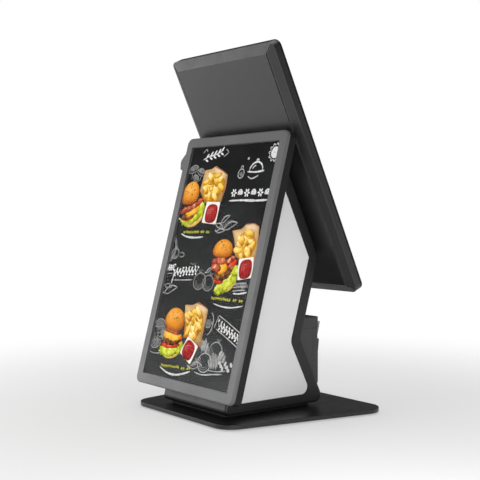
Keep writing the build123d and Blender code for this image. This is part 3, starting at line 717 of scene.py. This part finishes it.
def board_print(name):
    """Chalkboard: near-black, greyer lower down, with wiped chalk dust."""
    made = Surface(name, 0.5, 0.0, 0.0)
    shade = made.attribute("shade")
    wiped = made.spread(made.noise(17.0, 5.0, (2.2, 1, 1)), -0.7, 0.8)
    dust = made.spread(made.noise(600.0, 3.0), -0.16, 0.16)
    level = made.math("ADD", shade, made.math("MULTIPLY", made.math("ADD", wiped, dust), 0.35))
    stops = [(0.0, (0.0065, 0.0065, 0.007)), (0.5, (0.018, 0.019, 0.019)), (1.0, (0.052, 0.054, 0.054))]
    return made.picture(made.ramp(level, stops), MENU_STRENGTH, ground=0.008)


def chalk_print(name, colour):
    """Chalk line: bright where it is pressed, broken by the board's grain."""
    made = Surface(name, 0.6, 0.0, 0.0)
    shade = made.attribute("shade")
    grain = made.spread(made.noise(1500.0, 3.0), 0.75, 1.15, 0.35, 0.6)
    level = made.math("MULTIPLY", shade, grain)
    faint = tuple(0.012 + 0.03 * c for c in colour)
    middle = tuple(0.36 * c for c in colour)
    tone = made.ramp(level, [(0.0, faint), (0.5, middle), (1.0, colour)])
    return made.picture(tone, MENU_STRENGTH)


def chalkboard(display):
    """The picture's dark ground, as a flat sheet that stands for the panel."""
    ground = Print("menu_board", display, board_print("menu_board_print"))
    columns, rows = 8, 20
    grid = []
    for j in range(rows + 1):
        y = 100 * j / rows
        shade = 0.06 + 0.82 * max(0.0, (y - 10) / 90) ** 1.1
        across = [display.width * i / columns for i in range(columns + 1)]
        grid.append([ground.vertex(x, y, 0, shade, 0.5) for x in across])
    for j in range(rows):
        for i in range(columns):
            ground.faces.append((grid[j][i], grid[j][i + 1], grid[j + 1][i + 1], grid[j + 1][i]))
    piece = ground.finish("terminal", "lcd_face")
    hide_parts("front_lcd_panel")


def dome(cx, cy, rx, up, down, turn=0.0, seed=1):
    """Outline of a bun: a high round top, and a flatter underside with soft corners."""
    dice = Random(seed)
    lean = dice.uniform(-0.02, 0.02)
    made = []
    for i in range(56):
        a = 2 * pi * i / 56
        x, y = cos(a), sin(a)
        if y > 0:
            x = (abs(x) ** 0.72) * (1 if x > 0 else -1)
        made.append(rotated(rx * x * (1 + lean * y), (down if y > 0 else up) * y, cx, cy, turn))
    return made


def wedge(cx, cy, half_length, half_thick, bend, turn):
    """Outline of one bent potato wedge."""
    top, low = [], []
    for i in range(9):
        t = -1 + i / 4
        middle = bend * (1 - t * t)
        half = half_thick * (1 - t**4) ** 0.5 + 0.06
        top.append(rotated(half_length * t, middle - half, cx, cy, turn))
        low.append(rotated(half_length * t, middle + half, cx, cy, turn))
    return top + low[::-1]


BURGER_LOOKS = {
    "bottom_bun": (BOTTOM_BUN, "menu_crumb", 0.02, 5, 0.6),
    "lettuce": (LETTUCE, "menu_lettuce", 0.075, 12, 0.55),
    "tomato": (TOMATO, "menu_tomato", 0.04, 6, 0.5),
    "patty": (PATTY, "menu_patties", 0.05, 9, 0.5),
    "cheese": (CHEESE, "menu_cheese", 0.10, 5, 0.6),
    "bacon": (BACON, "menu_bacon", 0.07, 5, 0.45),
}


def draw_burger(prints, parts, bun, seed):
    """Burger from its layers, each (kind, x, y, half width, half height, turn), under a seeded bun."""
    for i, (kind, x, y, rx, ry, turn) in enumerate(parts):
        layer, name, wobble, lobes, tint = BURGER_LOOKS[kind]
        outline = blob(x, y, rx, ry, turn, wobble, lobes, seed * 31 + i)
        prints[name].patch(outline, layer + 0.05 * i, tint, 5, contrast=0.45)
    x, y, rx, up, down, turn = bun
    prints["menu_buns"].patch(dome(x, y, rx, up, down, turn, seed), TOP_BUN, 0.5, 8, (-0.2, -1.0), 0.42)
    dice = Random(seed)
    for _ in range(17):
        a, reach = dice.uniform(pi * 1.08, pi * 1.92), dice.uniform(0.2, 0.85)
        sx, sy = rotated(rx * reach * cos(a), up * reach * sin(a), x, y, turn)
        grain = blob(sx, sy, dice.uniform(0.28, 0.42), dice.uniform(0.15, 0.22), dice.uniform(-40, 40))
        prints["menu_seeds"].patch(grain, SEEDS, dice.random(), 1)


def draw_fries(prints, bag, fold, middle, reach, lean, seed):
    """Paper bag, heaped with bent wedges from its mouth down, with its upper lip folded out."""
    prints["menu_bags"].patch(corners(bag, 0.08), BAG, 0.6, contrast=0.3)
    bed = blob(middle[0], middle[1], reach[0] * 1.04, reach[1] * 1.04, lean - 60, 0.03, 5, seed)
    prints["menu_fries"].patch(bed, BAG_INSIDE, 0.12, 4, contrast=0.15)
    dice = Random(seed)
    count = 26
    for i in range(count):
        a = i * 2.4 + dice.uniform(-0.3, 0.3)
        part = ((i + 0.5) / count) ** 0.5 * 0.86
        x = middle[0] + reach[0] * part * cos(a)
        y = middle[1] + reach[1] * part * sin(a)
        turn = lean + dice.uniform(-55, 55)
        size = dice.uniform(0.8, 1.25)
        outline = wedge(x, y, 2.7 * size, 1.0 * size, dice.uniform(-0.9, 0.9), turn)
        prints["menu_fries"].patch(outline, FRIES + 0.08 * i, dice.uniform(0.25, 0.95), 3, contrast=0.8)
    prints["menu_bag_folds"].patch(corners(fold, 0.2), FRIES - 0.3, 0.5, 3, contrast=0.3)
    rim = fold[: len(fold) // 2]
    prints["menu_bag_insides"].stroke(rim, 0.34, 0.5, FRIES + 2.9, dice=dice)


def draw_sauce(prints, tray, cx, cy, size, turn, seed):
    """Square paper tray with a pool of red sauce and soft shines on it."""
    prints["menu_trays"].patch(corners(tray, 0.08), TRAY, 0.7, 3, contrast=0.12)
    square = turned([(-size, -size), (size, -size), (size, size), (-size, size)], cx, cy, turn)
    prints["menu_sauces"].patch(corners(square, 0.4), SAUCE, 0.5, 5, contrast=0.25)
    dice = Random(seed)
    for reach in (0.62, 0.3):
        start = dice.uniform(120, 200)
        line = arc(cx, cy, size * reach, size * reach * 0.8, start, start + 130, turn, 6)
        prints["menu_shines"].stroke(line, 0.3, dice.uniform(0.15, 0.4), SHINE, dice=dice)


def draw_meals(prints):
    draw_fries(
        prints,
        [(12.3, 10.4), (16.8, 10.0), (19.5, 8.7), (29.1, 12.7), (29.7, 18.6), (28.6, 24.8), (17.0, 25.0),
         (11.4, 19.5)],
        [(18.6, 9.0), (24.6, 10.8), (29.1, 12.9), (28.8, 15.4), (24.0, 13.2), (18.8, 11.4)],
        (20.8, 17.9), (7.4, 6.4), 40, 3,
    )
    draw_sauce(prints, [(18.6, 24.4), (28.2, 24.6), (28.3, 34.3), (17.9, 33.6)], 23.5, 29.6, 4.1, 1, 5)
    draw_burger(prints, [
        ("bottom_bun", 11.4, 32.4, 6.2, 3.0, -16),
        ("lettuce", 10.0, 30.4, 8.0, 4.0, -20),
        ("lettuce", 14.6, 27.6, 3.3, 3.4, -40),
        ("tomato", 7.0, 31.4, 4.4, 1.4, -12),
        ("patty", 7.8, 29.8, 5.8, 2.2, -18),
        ("cheese", 9.6, 28.6, 4.8, 2.0, -26),
        ("tomato", 12.2, 25.2, 3.6, 1.5, -34),
        ("bacon", 5.0, 28.0, 5.4, 1.5, -14),
        ("bacon", 9.6, 26.4, 5.0, 1.3, -24),
        ("bacon", 13.0, 24.4, 2.8, 1.3, -30),
    ], (5.5, 22.0, 6.3, 6.7, 3.7, -7), 1)
    draw_fries(
        prints,
        [(40.4, 36.6), (46.0, 35.9), (49.0, 33.6), (53.6, 33.4), (57.1, 34.5), (59.5, 46.0), (59.6, 49.4),
         (49.0, 48.2), (45.5, 46.8), (43.4, 41.0)],
        [(48.2, 34.2), (53.4, 33.5), (57.0, 34.6), (57.6, 37.0), (53.2, 36.0), (48.4, 36.4)],
        (51.2, 42.4), (5.6, 6.0), 50, 8,
    )
    draw_sauce(prints, [(48.8, 48.0), (57.8, 46.8), (59.8, 55.0), (50.4, 56.6)], 54.2, 51.9, 3.9, -8, 9)
    draw_burger(prints, [
        ("bottom_bun", 45.2, 58.2, 5.0, 3.0, -34),
        ("lettuce", 43.6, 58.0, 7.6, 3.4, -38),
        ("lettuce", 39.6, 60.8, 3.0, 2.3, -10),
        ("lettuce", 48.4, 52.8, 3.2, 2.2, -20),
        ("tomato", 38.0, 57.4, 3.4, 1.5, 6),
        ("patty", 40.0, 55.2, 5.4, 2.2, -12),
        ("tomato", 44.4, 51.6, 4.4, 1.7, -46),
        ("patty", 43.8, 53.2, 3.2, 1.5, -40),
        ("cheese", 38.8, 52.6, 3.6, 2.2, -6),
        ("bacon", 34.8, 52.0, 3.6, 2.0, 14),
        ("bacon", 36.6, 49.4, 5.4, 1.5, -3),
        ("bacon", 43.6, 48.6, 3.0, 1.3, -24),
    ], (37.1, 45.4, 6.6, 5.1, 2.6, 1), 2)
    draw_fries(
        prints,
        [(18.9, 68.8), (24.0, 68.6), (28.2, 67.0), (35.5, 69.3), (35.5, 85.0), (31.4, 84.1), (23.8, 80.9),
         (20.9, 75.5)],
        [(26.8, 67.5), (31.0, 68.0), (35.4, 69.4), (35.4, 72.0), (31.0, 70.6), (26.8, 69.9)],
        (27.6, 76.0), (6.1, 6.5), 65, 12,
    )
    draw_sauce(prints, [(25.9, 81.4), (34.2, 84.8), (31.2, 92.6), (22.4, 88.6)], 28.1, 87.0, 3.9, 23, 13)
    draw_burger(prints, [
        ("bottom_bun", 15.4, 89.6, 5.8, 2.3, -6),
        ("lettuce", 13.6, 88.6, 6.4, 3.0, -4),
        ("lettuce", 20.4, 86.6, 3.2, 2.9, -40),
        ("tomato", 14.4, 86.2, 6.6, 1.6, -4),
        ("patty", 14.8, 84.4, 6.2, 2.1, -3),
        ("cheese", 13.6, 82.6, 5.6, 1.8, 6),
        ("cheese", 17.4, 82.8, 3.4, 1.6, -14),
        ("tomato", 20.0, 83.2, 2.0, 1.6, -30),
        ("bacon", 14.0, 80.6, 5.8, 1.0, 6),
    ], (14.1, 76.6, 7.1, 6.0, 3.9, 6), 3)


def garland(chalk, x0, x1, y, tall, waves, width, tint, slope=0.0, seed=1):
    """A wavy chalk line with a leaf on each crest."""
    dice = Random(seed)
    points, crests = [], []
    for i in range(waves * 2 + 1):
        part = i / (waves * 2)
        lift = (tall if i % 2 else -tall) / 2 * dice.uniform(0.5, 1.0)
        points.append((x0 + (x1 - x0) * part, y + lift * 0.55 + slope * part))
        crests.append((points[-1][0], points[-1][1] + lift * 0.7, dice.uniform(-60, 60)))
    chalk.stroke(points, width, tint, dice=dice)
    for x, crest_y, turn in crests:
        chalk.dab(blob(x, crest_y, 0.75, 0.36, turn, 0.1), tint, tint)


def specks(chalk, x0, x1, y, count, slope, seed):
    """A row of small separate chalk dabs, with two gaps near its end."""
    dice = Random(seed)
    for i in range(count):
        if i in (count - 3, count - 6):
            continue
        part = i / (count - 1)
        middle = (x0 + (x1 - x0) * part, y + slope * part + dice.uniform(-0.2, 0.2))
        size = (dice.uniform(0.4, 0.62), 0.5)
        chalk.dab(blob(*middle, *size, dice.uniform(0, 90), 0.25, 3, i), 0.9, 0.8)


def mushroom(chalk, x, y, size, turn, tint, seed=1):
    """Chalk mushroom: cap, gills and stem."""
    dice = Random(seed)
    chalk.stroke(arc(x, y, size, size * 0.72, 180, 360, turn), 0.34, tint, dice=dice)
    chalk.stroke(arc(x, y, size, size * 0.22, 0, 180, turn, 9), 0.3, tint * 0.8, dice=dice)
    for side in (-0.25, 0.3):
        foot = turned([(side * size, size * 0.15), (side * size * 1.2, size * 1.1)], x, y, turn)
        chalk.stroke(foot, 0.3, tint * 0.8, dice=dice)
    for spread in (-0.7, -0.4, -0.1, 0.2, 0.5):
        gill = turned([(spread * size, size * 0.02), (spread * size * 0.6, -size * 0.55)], x, y, turn)
        chalk.stroke(gill, 0.22, tint * 0.5, dice=dice)


def chilli(chalk, x, y, length, turn, tint, seed=1):
    """Chalk chilli: a bent horn with its stalk."""
    dice = Random(seed)
    back = [(length * t, -length * 0.2 * sin(pi * t)) for t in (0, 0.25, 0.5, 0.75, 1)]
    belly = [(length * t, length * (0.16 - 0.16 * t) * sin(pi * t) ** 0.5) for t in (0, 0.3, 0.6, 1)]
    stalk = [(0, 0), (-length * 0.2, -length * 0.12)]
    for points, width, part in ((back, 0.4, 1.0), (belly, 0.4, 0.8), (stalk, 0.5, 1.0)):
        chalk.stroke(turned(points, x, y, turn), width, tint * part, dice=dice)


def round_fruit(chalk, x, y, size, turn, tint, seed=1):
    """Chalk tomato or onion: a ring, inner rings on one side, and a tuft."""
    dice = Random(seed)
    chalk.stroke(arc(x, y, size, size * 0.86, 0, 360, turn), 0.36, tint, closed=True, dice=dice)
    for part in (0.72, 0.5):
        ring = arc(x, y, size * part, size * part * 0.9, 20, 200, turn, 9)
        chalk.stroke(ring, 0.26, tint * 0.55, dice=dice)
    for side in (-0.35, 0.0, 0.35):
        tuft = turned([(0, -size * 0.8), (side * size, -size * 1.25)], x, y, turn)
        chalk.stroke(tuft, 0.3, tint * 0.8, dice=dice)


def hatching(chalk, x, y, wide, tall, count, turn, tint, seed=1):
    """Loose shading strokes inside an oval."""
    dice = Random(seed)
    for i in range(count):
        part = -1 + 2 * (i + 0.5) / count
        half = tall * (1 - part * part) ** 0.5
        top = rotated(part * wide, -half * dice.uniform(0.6, 1.0), x, y, turn)
        low = rotated(part * wide + wide * 0.15, half * dice.uniform(0.6, 1.0), x, y, turn)
        chalk.stroke([top, low], dice.uniform(0.2, 0.5), tint * dice.uniform(0.5, 1.0), dice=dice)


def star_badge(chalk, x, y, size):
    """Chalk burst with a bright middle, and loose zigzags round it."""
    spikes = 11
    points = []
    for i in range(spikes * 2):
        reach = size * (1.0 if i % 2 == 0 else 0.72)
        a = pi * i / spikes
        points.append((x + reach * cos(a), y + reach * sin(a)))
    inside = [(x + (px - x) * 0.62, y + (py - y) * 0.62) for px, py in points]
    chalk.stroke(inside, size * 0.55, closed=True)
    for i in range(spikes):
        a = 2 * pi * (i + 0.5) / spikes
        inner, outer = size * 1.15, size * 1.5
        bend = (x + outer * cos(a), y + outer * sin(a))
        ends = [(x + inner * cos(a + s), y + inner * sin(a + s)) for s in (-0.22, 0.22)]
        chalk.stroke([ends[0], bend, ends[1]], 0.3, 0.7, taper=False)


def strokes(chalk, *rows):
    """Plain chalk strokes, each (points, width, tint)."""
    for points, width, tint in rows:
        chalk.stroke(points, width, tint)


def draw_headings(chalk):
    """Small chalk drawings along the top, above a row of flowers and shells."""
    strokes(chalk, ([(9.0, 5.6), (13.0, 4.2), (17.4, 3.6), (22.4, 1.8)], 0.5, 1.0))
    for x, y in ((10.8, 5.0), (13.6, 4.1), (16.2, 3.7), (18.8, 3.1), (21.0, 2.4)):
        for side in (-1, 1):
            chalk.dab(blob(x + 0.9, y + side * 1.05, 1.2, 0.42, side * 38 - 14), 1.0, 1.0)
    strokes(
        chalk,
        ([(8.0, 2.6), (9.8, 1.0), (11.0, 2.0)], 0.4, 0.45),
        ([(24.2, 1.4), (26.2, 3.0), (23.4, 4.8)], 0.4, 0.45),
        (arc(47.4, 11.6, 4.2, 3.6, 180, 360), 0.55, 1.0),
        ([(42.0, 11.9), (47.4, 12.2), (52.8, 11.7)], 0.6, 1.0),
    )
    chalk.stroke(arc(47.4, 7.4, 0.6, 0.6), 0.45, closed=True)
    strokes(
        chalk,
        (arc(47.4, 11.6, 2.6, 2.2, 200, 260, 0, 5), 0.4, 0.9),
        ([(42.8, 13.8), (45.4, 14.9), (48.4, 14.2), (49.6, 13.6)], 0.45, 0.6),
    )
    chalk.dab(blob(41.0, 6.3, 0.55, 0.6), 0.8, 0.7)
    chalk.stroke(arc(38.0, 12.6, 1.9, 1.9), 0.4, 0.5, closed=True)
    strokes(chalk, ([(37.2, 10.8), (37.6, 9.6), (38.4, 9.4), (38.8, 10.8)], 0.4, 0.5))
    hatching(chalk, 38.0, 12.8, 1.2, 1.2, 4, 20, 0.4)
    star_badge(chalk, 57.3, 4.4, 2.6)
    for i, x in enumerate((36.0, 40.2, 44.6, 48.9, 53.3, 57.6)):
        if i % 2 == 0:
            for petal in range(6):
                px, py = x + 1.15 * cos(petal * pi / 3), 20.8 + 1.15 * sin(petal * pi / 3)
                chalk.dab(blob(px, py, 0.72, 0.4, petal * 60), 1.0, 1.0)
        else:
            for reach in (0.6, 1.1, 1.6):
                chalk.stroke(arc(x, 21.9, reach, reach * 1.5, 190, 350, 0, 7), 0.5)
    strokes(chalk, ([(33.8, 24.1), (42.0, 23.9), (51.0, 24.1), (59.6, 23.8)], 0.7, 1.0))


def draw_vegetables(chalk, captions):
    """Vegetables, garlands and rules between the meals, from the top down."""
    caps = ((3.6, 10.4, 3.4, -12, 1), (9.4, 11.8, 3.0, 18, 2), (6.2, 14.2, 2.4, 30, 3))
    for x, y, size, turn, seed in caps:
        mushroom(chalk, x, y, size, turn, 0.42, seed)
        hatching(chalk, x, y - size * 0.3, size * 0.8, size * 0.4, 9, turn, 0.45, seed)
    for x, y, length, turn in (
        (28.0, 34.0, 6.4, 20), (31.5, 33.6, 6.2, -32), (34.0, 36.2, 9.2, -18), (29.6, 37.2, 5.6, -4),
    ):
        chilli(chalk, x, y, length, turn, 0.5, int(x))
    hatching(chalk, 34.6, 34.2, 4.6, 1.6, 9, -20, 0.32, 5)
    # rings and a large garland at the left edge
    for ring in (1.0, 0.8):
        chalk.stroke(arc(-0.5, 45.6, 3.6 * ring, 5.4 * ring, -80, 90, 0, 10), 0.36, 0.4)
    round_fruit(chalk, 3.2, 47.4, 2.6, 0, 0.42, 4)
    strokes(
        chalk,
        (arc(8.2, 47.8, 1.8, 1.0, -150, 150), 0.34, 0.42),
        (arc(18.2, 50.6, 2.4, 0.9, 20, 170, 0, 8), 0.3, 0.28),
    )
    garland(chalk, -0.4, 5.0, 54.0, 1.8, 4, 0.45, 0.85, -0.6, 2)
    strokes(chalk, ([(5.8, 54.4), (5.0, 60.6)], 0.6, 1.0))
    garland(chalk, 5.2, 22.4, 55.8, 2.9, 8, 0.58, 1.0, -2.0, 3)
    strokes(
        chalk,
        ([(0.4, 56.6), (2.6, 56.2), (4.4, 56.4)], 0.3, 0.5),
        ([(6.0, 59.0), (13.0, 58.6), (19.8, 58.1)], 0.34, 0.6),
    )
    chilli(chalk, 1.0, 65.0, 9.8, -18, 0.5, 6)
    chilli(chalk, 0.2, 61.6, 6.0, 8, 0.35, 7)
    # onions and loose rules beside the second burger
    round_fruit(chalk, 25.2, 58.4, 4.0, -8, 0.36, 8)
    round_fruit(chalk, 31.4, 58.8, 3.7, 14, 0.36, 9)
    chilli(chalk, 28.6, 54.6, 4.2, -30, 0.5, 10)
    for y in (58.2, 59.6, 61.0):
        chalk.stroke([(48.6, y), (52.0, y - 0.5), (56.6, y - 0.9)], 0.42, 0.5)
    hatching(chalk, 53.0, 58.4, 4.6, 1.5, 12, 0, 0.42, 11)
    strokes(chalk, ([(49.2, 61.9), (53.0, 61.8), (57.8, 60.9)], 0.5, 0.85))
    # captions of small dabs, with an arc under each
    strokes(
        chalk,
        ([(4.4, 38.6), (9.0, 39.8), (15.0, 40.1), (21.0, 39.6)], 0.6, 0.95),
        ([(38.0, 66.8), (44.0, 67.6), (50.6, 67.5), (57.2, 66.3)], 0.45, 0.85),
        ([(10.0, 96.0), (16.0, 97.7), (22.0, 97.9), (27.6, 96.7), (32.0, 95.2)], 0.62, 0.95),
    )
    specks(captions, 6.4, 24.2, 37.9, 15, -0.4, 12)
    specks(captions, 36.4, 55.8, 64.7, 16, -0.3, 13)
    specks(captions, 11.2, 31.2, 95.2, 16, -0.9, 14)
    # banner that slants down to the right
    for lift in (0.0, 5.6):
        edge = [(43.6, 71.2 + lift), (51.6, 74.0 + lift), (60.0, 77.2 + lift)]
        chalk.stroke(edge, 0.3, 0.6, taper=False)
    strokes(chalk, ([(43.6, 71.2), (41.8, 76.4)], 0.3, 0.6))
    garland(chalk, 44.2, 59.6, 74.8, 2.6, 8, 0.5, 0.95, 4.8, 15)
    strokes(chalk, (arc(38.0, 75.0, 2.6, 4.4, -90, 90, 0, 9), 0.34, 0.5))
    hatching(chalk, 37.6, 75.0, 1.8, 3.6, 6, 90, 0.42, 16)
    # mushrooms left of the third meal, and a heap of vegetables right of it
    for x, y, size, turn in ((3.4, 78.8, 3.6, -10), (3.0, 86.0, 3.8, 170), (7.0, 82.0, 2.8, 70)):
        mushroom(chalk, x, y, size, turn, 0.45, int(size * 10))
        hatching(chalk, x, y, size * 0.8, size * 0.8, 9, turn, 0.36, int(y))
    strokes(chalk, ([(0.2, 90.6), (4.0, 91.0), (9.0, 90.2)], 0.34, 0.45))
    round_fruit(chalk, 40.2, 90.6, 4.4, 0, 0.5, 17)
    round_fruit(chalk, 46.0, 85.4, 4.2, 10, 0.4, 18)
    for x, y, wide, tall, count, turn, tint, seed in (
        (37.8, 84.0, 3.2, 3.2, 13, 15, 0.55, 19),
        (46.0, 89.6, 3.4, 4.2, 14, -20, 0.55, 20),
        (50.6, 87.0, 2.6, 2.6, 10, 35, 0.6, 22),
        (34.6, 91.0, 3.0, 1.8, 8, -40, 0.5, 23),
    ):
        hatching(chalk, x, y, wide, tall, count, turn, tint, seed)
    strokes(chalk, ([(35.0, 95.0), (40.4, 95.4), (47.0, 94.4), (53.0, 93.6)], 0.4, 0.6))
    chilli(chalk, 31.0, 93.6, 8.4, -12, 0.5, 21)
    for i in range(7):
        x, y = 50.0 + i * 1.25, 89.4 + (i % 3) * 1.1
        chalk.patch(blob(x, y, 1.0, 0.7, i * 40, 0.12, 5, i), CHALK, 0.8, 2, even=0.75)
    # a last rule, and notes that the frame cuts off at both edges
    strokes(
        chalk,
        ([(43.0, 93.2), (49.0, 93.0), (55.0, 92.0)], 0.34, 0.5),
        *[([(58.4, y), (59.8, y + 0.5)], 0.6, 0.9) for y in (34.0, 36.2, 38.4)],
        *[([(-0.2, y), (1.4, y + 0.4)], 0.6, 0.8) for y in (28.6, 31.8)],
    )


# print name, grain in blotches per metre, strength of the grain, and colours from dark to light
FOOD_LOOKS = {
    "menu_bags": ("menu_bag_print", 60.0, 0.12, [
        (0.0, (0.22, 0.10, 0.03)), (0.4, (0.58, 0.34, 0.13)), (0.75, (0.80, 0.55, 0.27)),
        (1.0, (0.92, 0.76, 0.50)),
    ]),
    "menu_bag_folds": ("menu_bag_fold_print", 60.0, 0.1, [
        (0.0, (0.36, 0.20, 0.08)), (0.5, (0.74, 0.52, 0.29)), (1.0, (0.92, 0.78, 0.56)),
    ]),
    "menu_bag_insides": ("menu_bag_rim_print", 200.0, 0.25, [
        (0.0, (0.10, 0.03, 0.01)), (0.6, (0.30, 0.10, 0.04)), (1.0, (0.50, 0.24, 0.10)),
    ]),
    "menu_fries": ("menu_fries_print", 130.0, 0.14, [
        (0.0, (0.34, 0.12, 0.008)), (0.28, (0.66, 0.30, 0.015)), (0.55, (0.90, 0.54, 0.06)),
        (0.8, (0.98, 0.74, 0.22)), (1.0, (1.0, 0.88, 0.50)),
    ]),
    "menu_trays": ("menu_tray_print", 50.0, 0.06, [
        (0.0, (0.55, 0.38, 0.26)), (0.3, (0.88, 0.82, 0.75)), (1.0, (1.0, 0.98, 0.95)),
    ]),
    "menu_sauces": ("menu_sauce_print", 110.0, 0.14, [
        (0.0, (0.14, 0.005, 0.005)), (0.5, (0.36, 0.012, 0.012)), (1.0, (0.52, 0.035, 0.03)),
    ]),
    "menu_shines": ("menu_shine_print", 300.0, 0.1, [(0.0, (0.42, 0.04, 0.04)), (1.0, (0.80, 0.40, 0.36))]),
    "menu_buns": ("menu_bun_print", 70.0, 0.07, [
        (0.0, (0.24, 0.05, 0.004)), (0.3, (0.55, 0.16, 0.01)), (0.6, (0.84, 0.33, 0.025)),
        (0.85, (0.95, 0.56, 0.14)), (1.0, (0.98, 0.74, 0.34)),
    ]),
    "menu_crumb": ("menu_crumb_print", 120.0, 0.12, [
        (0.0, (0.50, 0.26, 0.03)), (0.5, (0.88, 0.62, 0.16)), (1.0, (0.97, 0.86, 0.48)),
    ]),
    "menu_seeds": ("menu_seed_print", 300.0, 0.2, [(0.0, (0.09, 0.02, 0.005)), (1.0, (0.30, 0.10, 0.02))]),
    "menu_lettuce": ("menu_lettuce_print", 120.0, 0.34, [
        (0.0, (0.10, 0.14, 0.004)), (0.3, (0.36, 0.42, 0.008)), (0.6, (0.66, 0.72, 0.04)),
        (1.0, (0.90, 0.92, 0.38)),
    ]),
    "menu_tomato": ("menu_tomato_print", 120.0, 0.22, [
        (0.0, (0.24, 0.008, 0.004)), (0.5, (0.72, 0.04, 0.01)), (1.0, (0.92, 0.22, 0.08)),
    ]),
    "menu_patties": ("menu_patty_print", 160.0, 0.45, [
        (0.0, (0.025, 0.008, 0.003)), (0.5, (0.17, 0.05, 0.012)), (1.0, (0.48, 0.20, 0.06)),
    ]),
    "menu_cheese": ("menu_cheese_print", 90.0, 0.2, [
        (0.0, (0.46, 0.14, 0.003)), (0.45, (0.90, 0.42, 0.01)), (1.0, (1.0, 0.76, 0.14)),
    ]),
    "menu_bacon": ("menu_bacon_print", 120.0, 0.4, [
        (0.0, (0.10, 0.010, 0.005)), (0.45, (0.42, 0.06, 0.02)), (0.75, (0.68, 0.20, 0.09)),
        (1.0, (0.86, 0.48, 0.28)),
    ]),
}


def draw_menu(display):
    """The customer's picture: three meals on a chalkboard."""
    chalkboard(display)
    looks = {
        "menu_chalk": chalk_print("menu_chalk_print", (0.86, 0.86, 0.84)),
        "menu_captions": chalk_print("menu_caption_print", (0.72, 0.70, 0.05)),
    }
    for name, look in FOOD_LOOKS.items():
        looks[name] = lit_print(*look)
    prints = {name: Print(name, display, look) for name, look in looks.items()}
    draw_headings(prints["menu_chalk"])
    draw_vegetables(prints["menu_chalk"], prints["menu_captions"])
    draw_meals(prints)
    for made in prints.values():
        made.finish("terminal", "lcd_face")


def tile_print(name, stops):
    """Lit panel colour of a sales screen, with a faint grain."""
    made = Surface(name, 0.3, 0.0, 0.2)
    tint = made.attribute("tint")
    dots = made.spread(made.noise(1800.0, 1.0), -0.03, 0.03)
    return made.picture(made.ramp(made.math("ADD", tint, dots), stops), 1.0)


def draw_sales_screen(display):
    """The operator's picture: an order list above a grid of blank keys."""
    ground = Print("sales_board", display, tile_print("sales_board_print", [
        (0.0, (0.010, 0.014, 0.020)), (1.0, (0.024, 0.032, 0.044)),
    ]))
    edge = [(0, 0), (display.width, 0), (display.width, 100), (0, 100)]
    ground.patch(corners(edge, 0.0, 1), 0, 0.4, 4)
    piece = ground.finish("terminal", "lcd_face")
    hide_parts("rear_lcd_panel")
    keys = Print("sales_keys", display, tile_print("sales_key_print", [
        (0.0, (0.03, 0.08, 0.16)), (0.3, (0.04, 0.20, 0.24)), (0.55, (0.10, 0.26, 0.12)),
        (0.8, (0.42, 0.22, 0.04)), (1.0, (0.36, 0.06, 0.05)),
    ]))
    lines = Print("sales_lines", display, tile_print("sales_line_print", [
        (0.0, (0.06, 0.08, 0.10)), (1.0, (0.55, 0.60, 0.64)),
    ]))
    margin, gap = 2.4, 1.2
    inner = display.width - 2 * margin

    def tile(made, x, y, wide, tall, layer, tint):
        outline = corners([(x, y), (x + wide, y), (x + wide, y + tall), (x, y + tall)], 0.1)
        made.patch(outline, layer, tint, 2)

    tile(lines, margin, 2.4, inner, 4.0, 1, 0.12)
    tile(lines, margin + 1.2, 3.9, 10, 1.0, 2, 0.8)
    tile(lines, margin, 8.0, inner, 30.0, 1, 0.05)
    for row in range(7):
        y = 10.4 + row * 3.7
        tile(lines, margin + 2.0, y, 12 + (row * 5) % 9, 0.9, 2, 0.75)
        tile(lines, margin + inner - 9.0, y, 6.5 - (row * 2) % 3, 0.9, 2, 0.9)
    columns, rows = 4, 6
    wide = (inner - (columns - 1) * gap) / columns
    tall = 7.4
    for row in range(rows):
        for column in range(columns):
            x = margin + column * (wide + gap)
            y = 40.4 + row * (tall + gap)
            tint = ((row * 3 + column * 2) % 5) / 4.4
            tile(keys, x, y, wide, tall, 1, tint)
            tile(lines, x + 2.0, y + tall - 2.3, wide - 4.0, 0.8, 2, 0.5)
            lines.patch(blob(x + wide / 2, y + 2.9, 1.5, 1.5), 2, 0.65, 2)
    tile(keys, margin, 92.8, inner, 5.0, 1, 0.55)
    for made in (keys, lines):
        made.finish("terminal", "lcd_face")


# ---------------------------------------------------------------- the whole scene


FRONT_LEAN = radians(15)
REAR_LEAN = radians(25)

add_camera()
add_studio()
dress_cad_nodes()
draw_menu(Display("front", (1, 0, 0), (0, sin(FRONT_LEAN), cos(FRONT_LEAN))))
draw_sales_screen(Display("rear", (-1, 0, 0), (0, -sin(REAR_LEAN), cos(REAR_LEAN))))
